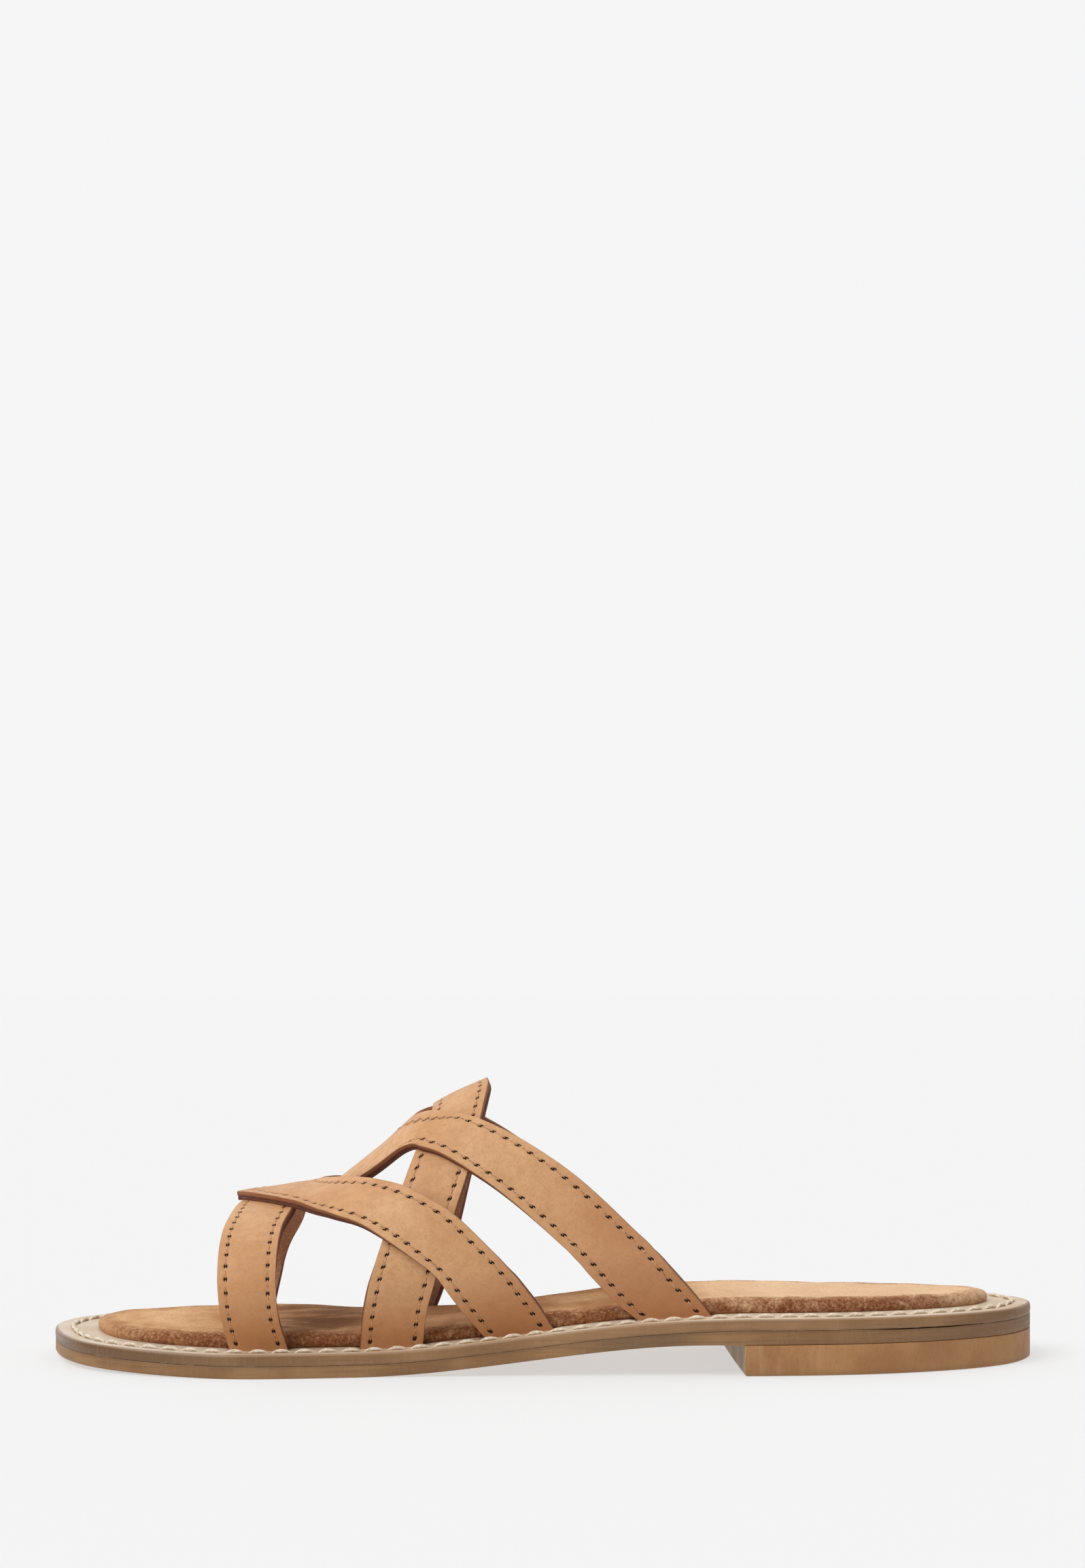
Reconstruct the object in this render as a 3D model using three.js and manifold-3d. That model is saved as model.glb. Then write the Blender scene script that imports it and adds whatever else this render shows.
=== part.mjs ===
// A left slide sandal: four woven leather straps over a padded footbed, on a leather midsole,
// an outsole and a low stacked heel. Millimetres, +X to the heel, +Y to the inner side of the
// foot, +Z up. The shoe stands on the ground with its origin under the middle of its box.
import * as THREE from 'three';
import { mergeVertices } from 'three/addons/utils/BufferGeometryUtils.js';
import Module from 'manifold-3d';

const wasm = await Module();
wasm.setup();

// Driving sizes of the sole
const shoeLength = 262;
const ballWidth = 92;
const outsoleThickness = 2.9;
const outsoleHeelThickness = 3.4;
const midsoleThickness = 3.3;
const footbedThickness = 3.4;
const footbedEndThickness = 2.6;
const footbedEndReach = 1.1;
const footbedEdgeRadius = 2.6;
const archRise = 1.0;
const heelHeight = 7.9;
const heelLength = 79;
const heelBreastSkew = 2.8;
const heelBreastBow = 0.8;
const toeSpring = 1.6;
const toeSpringPower = 1.4;
const soleEdgeRound = 0.5;

// Driving sizes of the upper
const instepHeight = 68;
const strapWall = 2.5;
const strapInset = 9.5;
const weldDepth = 0.15;

// Clearances between pieces that are glued or stitched on the real shoe
const seam = 0.3;

// Shares of the shoe's length from its middle, toe negative and heel positive
const springStart = -0.314;
const shankStart = -0.184;
const shankEnd = 0.161;
const heelSeatStart = 0.115;
const heelSeatEnd = 0.21;
const toeEnd = -0.5;
const archMiddle = 0.125;
const archReach = 0.17;
const footbedTaperStart = 0.3;
const footbedTaperEnd = 0.46;

// Share of the ball width over which the arch bump dies away from the inner edge
const archWidth = 0.25;

// Rounded edge of the footbed from the bottom up. share is of its thickness, inset of its edge
// radius.
const FOOTBED_EDGE = [
  { share: 0.00, inset: 0.12 },
  { share: 0.30, inset: 0.00 },
  { share: 0.62, inset: 0.12 },
  { share: 0.85, inset: 0.42 },
  { share: 1.00, inset: 1.10 },
];

// Mesh steps
const soleStations = 52;
const footbedStations = 44;
const footbedColumns = 8;
const strapRowsPerSide = 34;
const strapColumns = 4;
const outlineSteps = 480;
const breastSteps = 8;

// Steps over which the last's direction is measured, in millimetres and in fold
const normalReach = 0.5;
const normalFold = 0.01;

// How far a cutter runs past the piece that it cuts
const cutterReach = 1;

// Outline of the sole from the toe tip down the outer side, round the heel and back along the
// inner side. along is a share of the shoe's length, across a share of the ball width.
const OUTLINE = [
  { along: -0.500, across: 0.087 },
  { along: -0.493, across: -0.043 },
  { along: -0.476, across: -0.179 },
  { along: -0.450, across: -0.286 },
  { along: -0.410, across: -0.370 },
  { along: -0.360, across: -0.430 },
  { along: -0.295, across: -0.471 },
  { along: -0.230, across: -0.459 },
  { along: -0.153, across: -0.430 },
  { along: -0.057, across: -0.417 },
  { along: 0.057, across: -0.418 },
  { along: 0.192, across: -0.416 },
  { along: 0.299, across: -0.389 },
  { along: 0.372, across: -0.333 },
  { along: 0.433, across: -0.248 },
  { along: 0.475, across: -0.139 },
  { along: 0.499, across: 0.027 },
  { along: 0.492, across: 0.130 },
  { along: 0.464, across: 0.233 },
  { along: 0.406, across: 0.298 },
  { along: 0.330, across: 0.322 },
  { along: 0.238, across: 0.311 },
  { along: 0.138, across: 0.296 },
  { along: 0.038, across: 0.311 },
  { along: -0.061, across: 0.372 },
  { along: -0.161, across: 0.463 },
  { along: -0.253, across: 0.520 },
  { along: -0.337, across: 0.524 },
  { along: -0.410, across: 0.467 },
  { along: -0.460, across: 0.374 },
  { along: -0.489, across: 0.243 },
];

// Sections of the last from the toe to the instep. along is a share of the shoe's length; ridge
// is the height of the foot's ridge above the sole, a share of the instep height; across is
// where the ridge lies, and near and far are how much the outer and inner flanks swell beyond
// their roots, shares of the ball width; wide is the height of the widest place above the sole,
// a share of the instep height.
const LAST = [
  { along: -0.352, ridge: 0.444, across: 0.033, near: 0.060, far: 0.049, wide: 0.220 },
  { along: -0.314, ridge: 0.481, across: 0.033, near: 0.060, far: 0.049, wide: 0.220 },
  { along: -0.257, ridge: 0.512, across: 0.038, near: 0.060, far: 0.049, wide: 0.220 },
  { along: -0.215, ridge: 0.549, across: 0.043, near: 0.060, far: 0.043, wide: 0.235 },
  { along: -0.165, ridge: 0.686, across: 0.043, near: 0.060, far: 0.038, wide: 0.250 },
  { along: -0.115, ridge: 0.838, across: 0.043, near: 0.054, far: 0.038, wide: 0.265 },
  { along: -0.057, ridge: 0.928, across: 0.043, near: 0.049, far: 0.038, wide: 0.265 },
  { along: 0.019, ridge: 0.997, across: 0.043, near: 0.043, far: 0.038, wide: 0.265 },
  { along: 0.172, ridge: 1.112, across: 0.043, near: 0.033, far: 0.033, wide: 0.265 },
];

// How much of the way from the ridge to the sole is flank, below the widest place
const flankShare = 0.24;

// Straps. fold runs round the foot from -1 at the outer root over 0 at the ridge to 1 at the
// inner root; front and rear are the strap's edges there, shares of the shoe's length.
// raiseFront and raiseRear are how far those edges ride up over the straps below, shares of the
// strap's wall; a strap without them lies on the foot.
const STRAP_A = [
  { fold: -1.00, front: -0.305, rear: -0.250 },
  { fold: -0.84, front: -0.312, rear: -0.258 },
  { fold: -0.66, front: -0.315, rear: -0.260 },
  { fold: -0.40, front: -0.315, rear: -0.257 },
  { fold: -0.20, front: -0.310, rear: -0.248 },
  { fold: 0.00, front: -0.304, rear: -0.251 },
  { fold: 0.20, front: -0.306, rear: -0.248 },
  { fold: 0.40, front: -0.313, rear: -0.252 },
  { fold: 0.66, front: -0.328, rear: -0.272 },
  { fold: 0.84, front: -0.339, rear: -0.282 },
  { fold: 1.00, front: -0.346, rear: -0.289 },
];
const STRAP_B = [
  { fold: -1.00, front: -0.057, rear: 0.011, raiseFront: 0, raiseRear: 0 },
  { fold: -0.90, front: -0.076, rear: -0.004, raiseFront: 0.3, raiseRear: 0.3 },
  { fold: -0.80, front: -0.096, rear: -0.023, raiseFront: 0.8, raiseRear: 0.8 },
  { fold: -0.68, front: -0.134, rear: -0.060, raiseFront: 1, raiseRear: 1 },
  { fold: -0.60, front: -0.157, rear: -0.086, raiseFront: 1, raiseRear: 1 },
  { fold: -0.52, front: -0.178, rear: -0.115, raiseFront: 1, raiseRear: 1 },
  { fold: -0.45, front: -0.197, rear: -0.136, raiseFront: 1, raiseRear: 1 },
  { fold: -0.38, front: -0.214, rear: -0.157, raiseFront: 1, raiseRear: 1 },
  { fold: -0.30, front: -0.235, rear: -0.179, raiseFront: 1, raiseRear: 1 },
  { fold: -0.20, front: -0.263, rear: -0.201, raiseFront: 1, raiseRear: 1 },
  { fold: -0.10, front: -0.291, rear: -0.220, raiseFront: 1, raiseRear: 1 },
  { fold: 0.00, front: -0.310, rear: -0.232, raiseFront: 1, raiseRear: 1 },
  { fold: 0.10, front: -0.291, rear: -0.221, raiseFront: 1, raiseRear: 1 },
  { fold: 0.20, front: -0.270, rear: -0.206, raiseFront: 1, raiseRear: 1 },
  { fold: 0.30, front: -0.250, rear: -0.194, raiseFront: 1, raiseRear: 1 },
  { fold: 0.38, front: -0.237, rear: -0.182, raiseFront: 1, raiseRear: 1 },
  { fold: 0.45, front: -0.222, rear: -0.166, raiseFront: 1, raiseRear: 1 },
  { fold: 0.52, front: -0.206, rear: -0.147, raiseFront: 1, raiseRear: 1 },
  { fold: 0.60, front: -0.186, rear: -0.117, raiseFront: 1, raiseRear: 1 },
  { fold: 0.68, front: -0.162, rear: -0.090, raiseFront: 1, raiseRear: 1 },
  { fold: 0.80, front: -0.123, rear: -0.050, raiseFront: 1, raiseRear: 1 },
  { fold: 0.90, front: -0.097, rear: -0.026, raiseFront: 0.6, raiseRear: 0.6 },
  { fold: 1.00, front: -0.076, rear: -0.009, raiseFront: 0, raiseRear: 0 },
];
const STRAP_C = [
  { fold: -1.00, front: -0.180, rear: -0.118 },
  { fold: -0.87, front: -0.177, rear: -0.114 },
  { fold: -0.75, front: -0.170, rear: -0.103 },
  { fold: -0.60, front: -0.156, rear: -0.087 },
  { fold: -0.43, front: -0.135, rear: -0.068 },
  { fold: -0.25, front: -0.116, rear: -0.057 },
  { fold: -0.12, front: -0.108, rear: -0.052 },
  { fold: 0.00, front: -0.107, rear: -0.053 },
  { fold: 0.12, front: -0.108, rear: -0.053 },
  { fold: 0.25, front: -0.116, rear: -0.057 },
  { fold: 0.43, front: -0.134, rear: -0.068 },
  { fold: 0.60, front: -0.153, rear: -0.082 },
  { fold: 0.75, front: -0.167, rear: -0.095 },
  { fold: 0.87, front: -0.175, rear: -0.105 },
  { fold: 1.00, front: -0.184, rear: -0.119 },
];
const STRAP_D = [
  { fold: -1.00, front: 0.093, rear: 0.166, raiseFront: 0, raiseRear: 0 },
  { fold: -0.93, front: 0.073, rear: 0.152, raiseFront: 0, raiseRear: 0 },
  { fold: -0.82, front: 0.046, rear: 0.126, raiseFront: 0, raiseRear: 0 },
  { fold: -0.70, front: 0.009, rear: 0.087, raiseFront: 0, raiseRear: 0 },
  { fold: -0.56, front: -0.042, rear: 0.033, raiseFront: 0.3, raiseRear: 0 },
  { fold: -0.45, front: -0.082, rear: -0.010, raiseFront: 0.9, raiseRear: 0.2 },
  { fold: -0.36, front: -0.111, rear: -0.045, raiseFront: 1, raiseRear: 0.6 },
  { fold: -0.29, front: -0.134, rear: -0.071, raiseFront: 0.8, raiseRear: 0.9 },
  { fold: -0.26, front: -0.172, rear: -0.083, raiseFront: 0.4, raiseRear: 1 },
  { fold: -0.22, front: -0.202, rear: -0.096, raiseFront: 0, raiseRear: 1 },
  { fold: -0.12, front: -0.232, rear: -0.116, raiseFront: 0, raiseRear: 0.5 },
  { fold: 0.00, front: -0.255, rear: -0.130, raiseFront: 0, raiseRear: 0 },
  { fold: 0.12, front: -0.232, rear: -0.116, raiseFront: 0, raiseRear: 0.5 },
  { fold: 0.22, front: -0.202, rear: -0.096, raiseFront: 0, raiseRear: 1 },
  { fold: 0.26, front: -0.172, rear: -0.084, raiseFront: 0.4, raiseRear: 1 },
  { fold: 0.29, front: -0.135, rear: -0.073, raiseFront: 0.8, raiseRear: 0.9 },
  { fold: 0.36, front: -0.112, rear: -0.053, raiseFront: 1, raiseRear: 0.6 },
  { fold: 0.45, front: -0.089, rear: -0.024, raiseFront: 0.9, raiseRear: 0.2 },
  { fold: 0.56, front: -0.061, rear: 0.014, raiseFront: 0.3, raiseRear: 0 },
  { fold: 0.70, front: -0.006, rear: 0.070, raiseFront: 0, raiseRear: 0 },
  { fold: 0.82, front: 0.035, rear: 0.112, raiseFront: 0, raiseRear: 0 },
  { fold: 0.93, front: 0.064, rear: 0.142, raiseFront: 0, raiseRear: 0 },
  { fold: 1.00, front: 0.082, rear: 0.151, raiseFront: 0, raiseRear: 0 },
];

// General curves

function smoothstep(from, to, value) {
  const t = THREE.MathUtils.clamp((value - from) / (to - from), 0, 1);
  return t * t * (3 - 2 * t);
}

// A smooth curve through one column of a table, straight on past its first and last rows
function column(rows, key, name) {
  const xs = rows.map((row) => row[key]);
  const ys = rows.map((row) => row[name]);
  const last = rows.length - 1;
  const chord = (i, j) => (ys[j] - ys[i]) / (xs[j] - xs[i]);
  const slope = (i) => chord(Math.max(i - 1, 0), Math.min(i + 1, last));
  return (x) => {
    if (x <= xs[0]) {
      return ys[0] + slope(0) * (x - xs[0]);
    }
    if (x >= xs[last]) {
      return ys[last] + slope(last) * (x - xs[last]);
    }
    const i = xs.findIndex((edge) => edge > x) - 1;
    const span = xs[i + 1] - xs[i];
    const t = (x - xs[i]) / span;
    const fromLeft = ys[i] + slope(i) * span * t;
    const fromRight = ys[i + 1] - slope(i + 1) * span * (1 - t);
    const blend = t * t * (3 - 2 * t);
    const cubicLeft = fromLeft + (ys[i + 1] - ys[i] - slope(i) * span) * t * t;
    const cubicRight = fromRight + (ys[i] - ys[i + 1] + slope(i + 1) * span) * (1 - t) * (1 - t);
    return THREE.MathUtils.lerp(cubicLeft, cubicRight, blend);
  };
}

// Heights along the sole

function treadHeight(x) {
  const along = x / shoeLength;
  const spring = Math.max(0, (springStart - along) / (springStart - toeEnd));
  return heelHeight * smoothstep(shankStart, shankEnd, along) + toeSpring * spring ** toeSpringPower;
}

function partingHeight(x) {
  const seat = smoothstep(heelSeatStart, heelSeatEnd, x / shoeLength);
  return treadHeight(x) + THREE.MathUtils.lerp(outsoleThickness, outsoleHeelThickness, seat);
}

function soleTop(x) {
  return partingHeight(x) + midsoleThickness;
}

// Outline in plan

function rimOutline() {
  const knots = OUTLINE.map((row) => new THREE.Vector3(row.along * shoeLength, row.across * ballWidth, 0));
  const curve = new THREE.CatmullRomCurve3(knots, true, 'centripetal');
  return curve.getSpacedPoints(outlineSteps).slice(0, outlineSteps);
}

// The outline moved inwards by the same distance everywhere
function insetOutline(points, inset) {
  const count = points.length;
  return points.map((point, i) => {
    const before = points[(i + count - 1) % count];
    const after = points[(i + 1) % count];
    const heading = after.clone().sub(before).normalize();
    return new THREE.Vector3(point.x - heading.y * inset, point.y + heading.x * inset, 0);
  });
}

// The outline's two places at one length along the shoe, the outer side first
function crossings(points, x) {
  const found = [];
  points.forEach((start, i) => {
    const end = points[(i + 1) % points.length];
    if ((start.x - x) * (end.x - x) <= 0 && start.x !== end.x) {
      found.push(THREE.MathUtils.mapLinear(x, start.x, end.x, start.y, end.y));
    }
  });
  return [Math.min(...found), Math.max(...found)];
}

// Stations from the toe tip to the heel tip, close together at both round ends
function stations(points, count) {
  const toe = points.reduce((best, point) => (point.x < best.x ? point : best));
  const heel = points.reduce((best, point) => (point.x > best.x ? point : best));
  return Array.from({ length: count + 1 }, (unused, i) => {
    const x = THREE.MathUtils.lerp(toe.x, heel.x, (1 - Math.cos((Math.PI * i) / count)) / 2);
    if (i === 0 || i === count) {
      const tip = i === 0 ? toe : heel;
      return { x: tip.x, near: tip.y, far: tip.y };
    }
    const [near, far] = crossings(points, x);
    return { x, near, far };
  });
}

// Closed meshes

// Collects quads and triangles, drops the ones that a round end has closed up, and turns the
// whole mesh so that its faces point out
class Shell {
  constructor() {
    this.corners = [];
  }

  triangle(a, b, c) {
    this.corners.push(a, b, c);
  }

  quad(a, b, c, d) {
    this.triangle(a, b, c);
    this.triangle(a, c, d);
  }

  geometry() {
    const soup = new THREE.BufferGeometry();
    soup.setAttribute('position', new THREE.Float32BufferAttribute(this.corners.flatMap((p) => p.toArray()), 3));
    const merged = mergeVertices(soup, 1e-4);
    const index = Array.from(merged.index.array);
    const kept = [];
    for (let i = 0; i < index.length; i += 3) {
      const [a, b, c] = index.slice(i, i + 3);
      if (a !== b && b !== c && c !== a) {
        kept.push(a, b, c);
      }
    }
    merged.setIndex(signedVolume(merged, kept) < 0 ? kept.reverse() : kept);
    return merged;
  }
}

function signedVolume(geometry, index) {
  const position = geometry.attributes.position;
  const [a, b, c] = [new THREE.Vector3(), new THREE.Vector3(), new THREE.Vector3()];
  let sum = 0;
  for (let i = 0; i < index.length; i += 3) {
    a.fromBufferAttribute(position, index[i]);
    b.fromBufferAttribute(position, index[i + 1]);
    c.fromBufferAttribute(position, index[i + 2]);
    sum += a.dot(b.cross(c)) / 6;
  }
  return sum;
}

function toSolid(geometry) {
  const vertProperties = new Float32Array(geometry.attributes.position.array);
  const triVerts = new Uint32Array(geometry.index.array);
  return new wasm.Manifold(new wasm.Mesh({ numProp: 3, vertProperties, triVerts }));
}

function toGeometry(solid) {
  const mesh = solid.getMesh();
  const geometry = new THREE.BufferGeometry();
  geometry.setAttribute('position', new THREE.Float32BufferAttribute(mesh.vertProperties, 3));
  geometry.setIndex(Array.from(mesh.triVerts));
  return geometry;
}

// A layer of the sole: rings of the outline, each with its own inset and height, stacked from
// the bottom up and closed by a sheet below and a sheet above. stretch lengthens every ring.
function soleLayer(rings, stationCount, columnsAbove, stretch = 1) {
  const shell = new Shell();
  const longer = (points) => points.map((point) => point.clone().setX(point.x * stretch));
  const outlines = rings.map((ring) => stations(longer(insetOutline(rim, ring.inset)), stationCount));
  const place = (k, station, share) => {
    const y = THREE.MathUtils.lerp(station.near, station.far, share);
    return new THREE.Vector3(station.x, y, rings[k].height(station.x, y));
  };
  const sheet = (k, columns) => {
    for (let i = 0; i < stationCount; i += 1) {
      for (let j = 0; j < columns; j += 1) {
        const here = outlines[k][i];
        const next = outlines[k][i + 1];
        const corners = [
          place(k, here, j / columns),
          place(k, next, j / columns),
          place(k, next, (j + 1) / columns),
          place(k, here, (j + 1) / columns),
        ];
        shell.quad(...(k === 0 ? corners.reverse() : corners));
      }
    }
  };
  sheet(0, 1);
  sheet(rings.length - 1, columnsAbove);
  for (let k = 0; k + 1 < rings.length; k += 1) {
    for (let i = 0; i < stationCount; i += 1) {
      const [here, next] = [outlines[k][i], outlines[k][i + 1]];
      const [hereUp, nextUp] = [outlines[k + 1][i], outlines[k + 1][i + 1]];
      shell.quad(place(k, here, 0), place(k, next, 0), place(k + 1, nextUp, 0), place(k + 1, hereUp, 0));
      shell.quad(place(k, next, 1), place(k, here, 1), place(k + 1, hereUp, 1), place(k + 1, nextUp, 1));
    }
  }
  return shell.geometry();
}

// The last, whose surface is the inside of the straps

const rim = rimOutline();
const rootLine = insetOutline(rim, strapInset + strapWall);
const lastRidge = column(LAST, 'along', 'ridge');
const lastAcross = column(LAST, 'along', 'across');
const lastNear = column(LAST, 'along', 'near');
const lastFar = column(LAST, 'along', 'far');
const lastWide = column(LAST, 'along', 'wide');

function lastPoint(x, fold) {
  const along = x / shoeLength;
  const side = fold < 0 ? -1 : 1;
  const root = crossings(rootLine, x)[fold < 0 ? 0 : 1];
  const swell = (fold < 0 ? lastNear(along) : lastFar(along)) * ballWidth;
  const floor = soleTop(x);
  const widest = root + side * swell;
  const wideHeight = floor + lastWide(along) * instepHeight;
  const shoulder = 1 - flankShare;
  if (Math.abs(fold) > shoulder) {
    const down = (Math.abs(fold) - shoulder) / flankShare;
    const y = widest - side * swell * smoothstep(0, 1, down);
    return new THREE.Vector3(x, y, THREE.MathUtils.lerp(wideHeight, floor, down));
  }
  const angle = ((Math.abs(fold) / shoulder) * Math.PI) / 2;
  const middle = lastAcross(along) * ballWidth;
  const ridge = floor + lastRidge(along) * instepHeight;
  const y = THREE.MathUtils.lerp(middle, widest, Math.sin(angle));
  return new THREE.Vector3(x, y, THREE.MathUtils.lerp(wideHeight, ridge, Math.cos(angle)));
}

// Outward direction of the last's surface
function lastNormal(x, fold) {
  const alongX = lastPoint(x + normalReach, fold).sub(lastPoint(x - normalReach, fold));
  const nextFold = Math.min(fold + normalFold, 1);
  const around = lastPoint(x, nextFold).sub(lastPoint(x, Math.max(fold - normalFold, -1)));
  const normal = alongX.cross(around).normalize();
  if (Math.abs(fold) === 1) {
    normal.setZ(0).normalize();
  }
  return normal;
}

// Straps

function strapEdges(rows) {
  const outerRows = rows.filter((row) => row.fold <= 0);
  const innerRows = rows.filter((row) => row.fold >= 0);
  const edge = (name, scale) => {
    const outer = column(outerRows, 'fold', name);
    const inner = column(innerRows, 'fold', name);
    return (fold) => (fold < 0 ? outer(fold) : inner(fold)) * scale;
  };
  const raised = 'raiseFront' in rows[0];
  const lie = () => 0;
  return {
    front: edge('front', shoeLength),
    rear: edge('rear', shoeLength),
    raiseFront: raised ? edge('raiseFront', strapWall - weldDepth) : lie,
    raiseRear: raised ? edge('raiseRear', strapWall - weldDepth) : lie,
  };
}

// One row of a strap's wall: its inner points from front to rear, then its outer ones back
function strapRow(strap, fold) {
  const inner = [];
  const outer = [];
  for (let j = 0; j <= strapColumns; j += 1) {
    const x = THREE.MathUtils.lerp(strap.front(fold), strap.rear(fold), j / strapColumns);
    const lift = THREE.MathUtils.lerp(strap.raiseFront(fold), strap.raiseRear(fold), j / strapColumns);
    const point = lastPoint(x, fold);
    const normal = lastNormal(x, fold);
    inner.push(point.clone().addScaledVector(normal, lift));
    outer.unshift(point.clone().addScaledVector(normal, lift + strapWall));
  }
  return [...inner, ...outer];
}

// The tail of a strap goes straight down through its slot in the midsole
function tailRow(row) {
  return row.map((point) => point.clone().setZ(partingHeight(point.x) + seam));
}

function sweep(rows) {
  const shell = new Shell();
  const size = rows[0].length;
  for (let i = 0; i + 1 < rows.length; i += 1) {
    for (let j = 0; j < size; j += 1) {
      const k = (j + 1) % size;
      shell.quad(rows[i][j], rows[i][k], rows[i + 1][k], rows[i + 1][j]);
    }
  }
  for (const row of [[...rows[0]].reverse(), rows[rows.length - 1]]) {
    for (let j = 0; j + 1 < size / 2; j += 1) {
      shell.quad(row[j], row[j + 1], row[size - 2 - j], row[size - 1 - j]);
    }
  }
  return shell.geometry();
}

function strapSolid(strap) {
  const count = 2 * strapRowsPerSide;
  const folds = Array.from({ length: count + 1 }, (unused, i) => -1 + i / strapRowsPerSide);
  const rows = folds.map((fold) => strapRow(strap, fold));
  return toSolid(sweep([tailRow(rows[0]), ...rows, tailRow(rows[count])]));
}

// The slot that one strap root needs in the midsole, wider than the tail by the clearance
function slotSolid(strap, fold) {
  const front = strap.front(fold) - seam;
  const rear = strap.rear(fold) + seam;
  const ring = [];
  for (let j = 0; j <= strapColumns; j += 1) {
    const x = THREE.MathUtils.lerp(front, rear, j / strapColumns);
    const normal = lastNormal(x, fold);
    ring.splice(j, 0, lastPoint(x, fold).addScaledVector(normal, -seam));
    ring.splice(j + 1, 0, lastPoint(x, fold).addScaledVector(normal, strapWall + seam));
  }
  const low = ring.map((point) => point.clone().setZ(partingHeight(point.x) - cutterReach));
  const high = ring.map((point) => point.clone().setZ(soleTop(point.x) + cutterReach));
  return toSolid(sweep([low, high]));
}

// Pieces

const strapA = strapEdges(STRAP_A);
const strapB = strapEdges(STRAP_B);
const strapC = strapEdges(STRAP_C);
const strapD = strapEdges(STRAP_D);

function upper() {
  const straps = [strapA, strapB, strapC, strapD].map(strapSolid);
  return toGeometry(straps.reduce((joined, strap) => joined.add(strap)));
}

function outsole() {
  return soleLayer([
    { inset: soleEdgeRound, height: (x) => treadHeight(x) },
    { inset: 0, height: (x) => treadHeight(x) + soleEdgeRound },
    { inset: 0, height: (x) => partingHeight(x) - soleEdgeRound / 2 },
    { inset: soleEdgeRound / 2, height: (x) => partingHeight(x) },
  ], soleStations, 1);
}

function midsole() {
  const slab = soleLayer([
    { inset: soleEdgeRound / 2, height: (x) => partingHeight(x) + seam },
    { inset: 0, height: (x) => partingHeight(x) + seam + soleEdgeRound / 2 },
    { inset: 0, height: (x) => soleTop(x) - 2 * soleEdgeRound },
    { inset: soleEdgeRound, height: (x) => soleTop(x) },
  ], soleStations, 1);
  const roots = [strapA, strapB, strapC, strapD];
  return toGeometry(roots.reduce(
    (solid, strap) => solid.subtract(slotSolid(strap, -1)).subtract(slotSolid(strap, 1)),
    toSolid(slab),
  ));
}

function footbed() {
  const margin = strapInset + strapWall + seam;
  const rise = (x, y) => {
    const edge = crossings(rim, x)[1] - margin;
    const inwards = 1 - smoothstep(0, archWidth * ballWidth, edge - y);
    return archRise * inwards * (1 - smoothstep(0, archReach, Math.abs(x / shoeLength - archMiddle)));
  };
  const thickness = (x) => {
    const nearEnd = smoothstep(footbedTaperStart, footbedTaperEnd, Math.abs(x) / shoeLength);
    return THREE.MathUtils.lerp(footbedThickness, footbedEndThickness, nearEnd);
  };
  const rings = FOOTBED_EDGE.map(({ share, inset }) => ({
    inset: margin + inset * footbedEdgeRadius,
    height: (x, y) => soleTop(x) + seam + share * (thickness(x) + rise(x, y)),
  }));
  const stretch = 1 + (2 * footbedEndReach) / shoeLength;
  return soleLayer(rings, footbedStations, footbedColumns, stretch);
}

function heel() {
  const block = soleLayer([
    { inset: soleEdgeRound, height: () => 0 },
    { inset: 0, height: () => soleEdgeRound },
    { inset: 0, height: (x) => treadHeight(x) - seam },
  ], soleStations, 1);
  const back = shoeLength / 2 + cutterReach;
  const side = ballWidth / 2;
  const nearX = shoeLength / 2 - heelLength;
  const farX = nearX - heelBreastSkew;
  const plan = new THREE.Shape();
  plan.moveTo(nearX, -side);
  plan.lineTo(back, -side);
  plan.lineTo(back, side);
  plan.lineTo(farX, side);
  plan.quadraticCurveTo((nearX + farX) / 2 - heelBreastBow, 0, nearX, -side);
  const depth = heelHeight + 2 * cutterReach;
  const cutter = new THREE.ExtrudeGeometry(plan, { depth, bevelEnabled: false, curveSegments: breastSteps });
  cutter.translate(0, 0, -cutterReach);
  cutter.deleteAttribute('normal');
  cutter.deleteAttribute('uv');
  return toGeometry(toSolid(block).intersect(toSolid(mergeVertices(cutter))));
}

// Assembly

const FINISHES = {
  upper: { color: '#cf9f72', roughness: 0.55 },
  footbed: { color: '#a9754c', roughness: 0.95 },
  midsole: { color: '#b29a7e', roughness: 0.6 },
  outsole: { color: '#7d6246', roughness: 0.6 },
  heel: { color: '#a17a4f', roughness: 0.55 },
};

function piece(name, geometry) {
  const flat = geometry.toNonIndexed();
  flat.computeVertexNormals();
  const finish = new THREE.MeshStandardMaterial({ ...FINISHES[name], metalness: 0 });
  const mesh = new THREE.Mesh(flat, finish);
  mesh.name = name;
  return mesh;
}

const shoe = new THREE.Group();
shoe.name = 'slide_sandal';
shoe.add(piece('outsole', outsole()));
shoe.add(piece('midsole', midsole()));
shoe.add(piece('heel', heel()));
shoe.add(piece('footbed', footbed()));
shoe.add(piece('upper', upper()));

// The origin lies on the ground under the middle of the whole shoe's box
const box = new THREE.Box3().setFromObject(shoe, true);
const middle = box.getCenter(new THREE.Vector3());
shoe.position.set(-middle.x, -middle.y, -box.min.z);

export default shoe;
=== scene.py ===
"""Looks of the left slide sandal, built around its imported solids.

Geometry is worked out in millimetres in the shoe's own frame, where Y is zero on the line that
the outline table is drawn about, and to_row() turns it into metres in the row frame.
"""

import math

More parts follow.
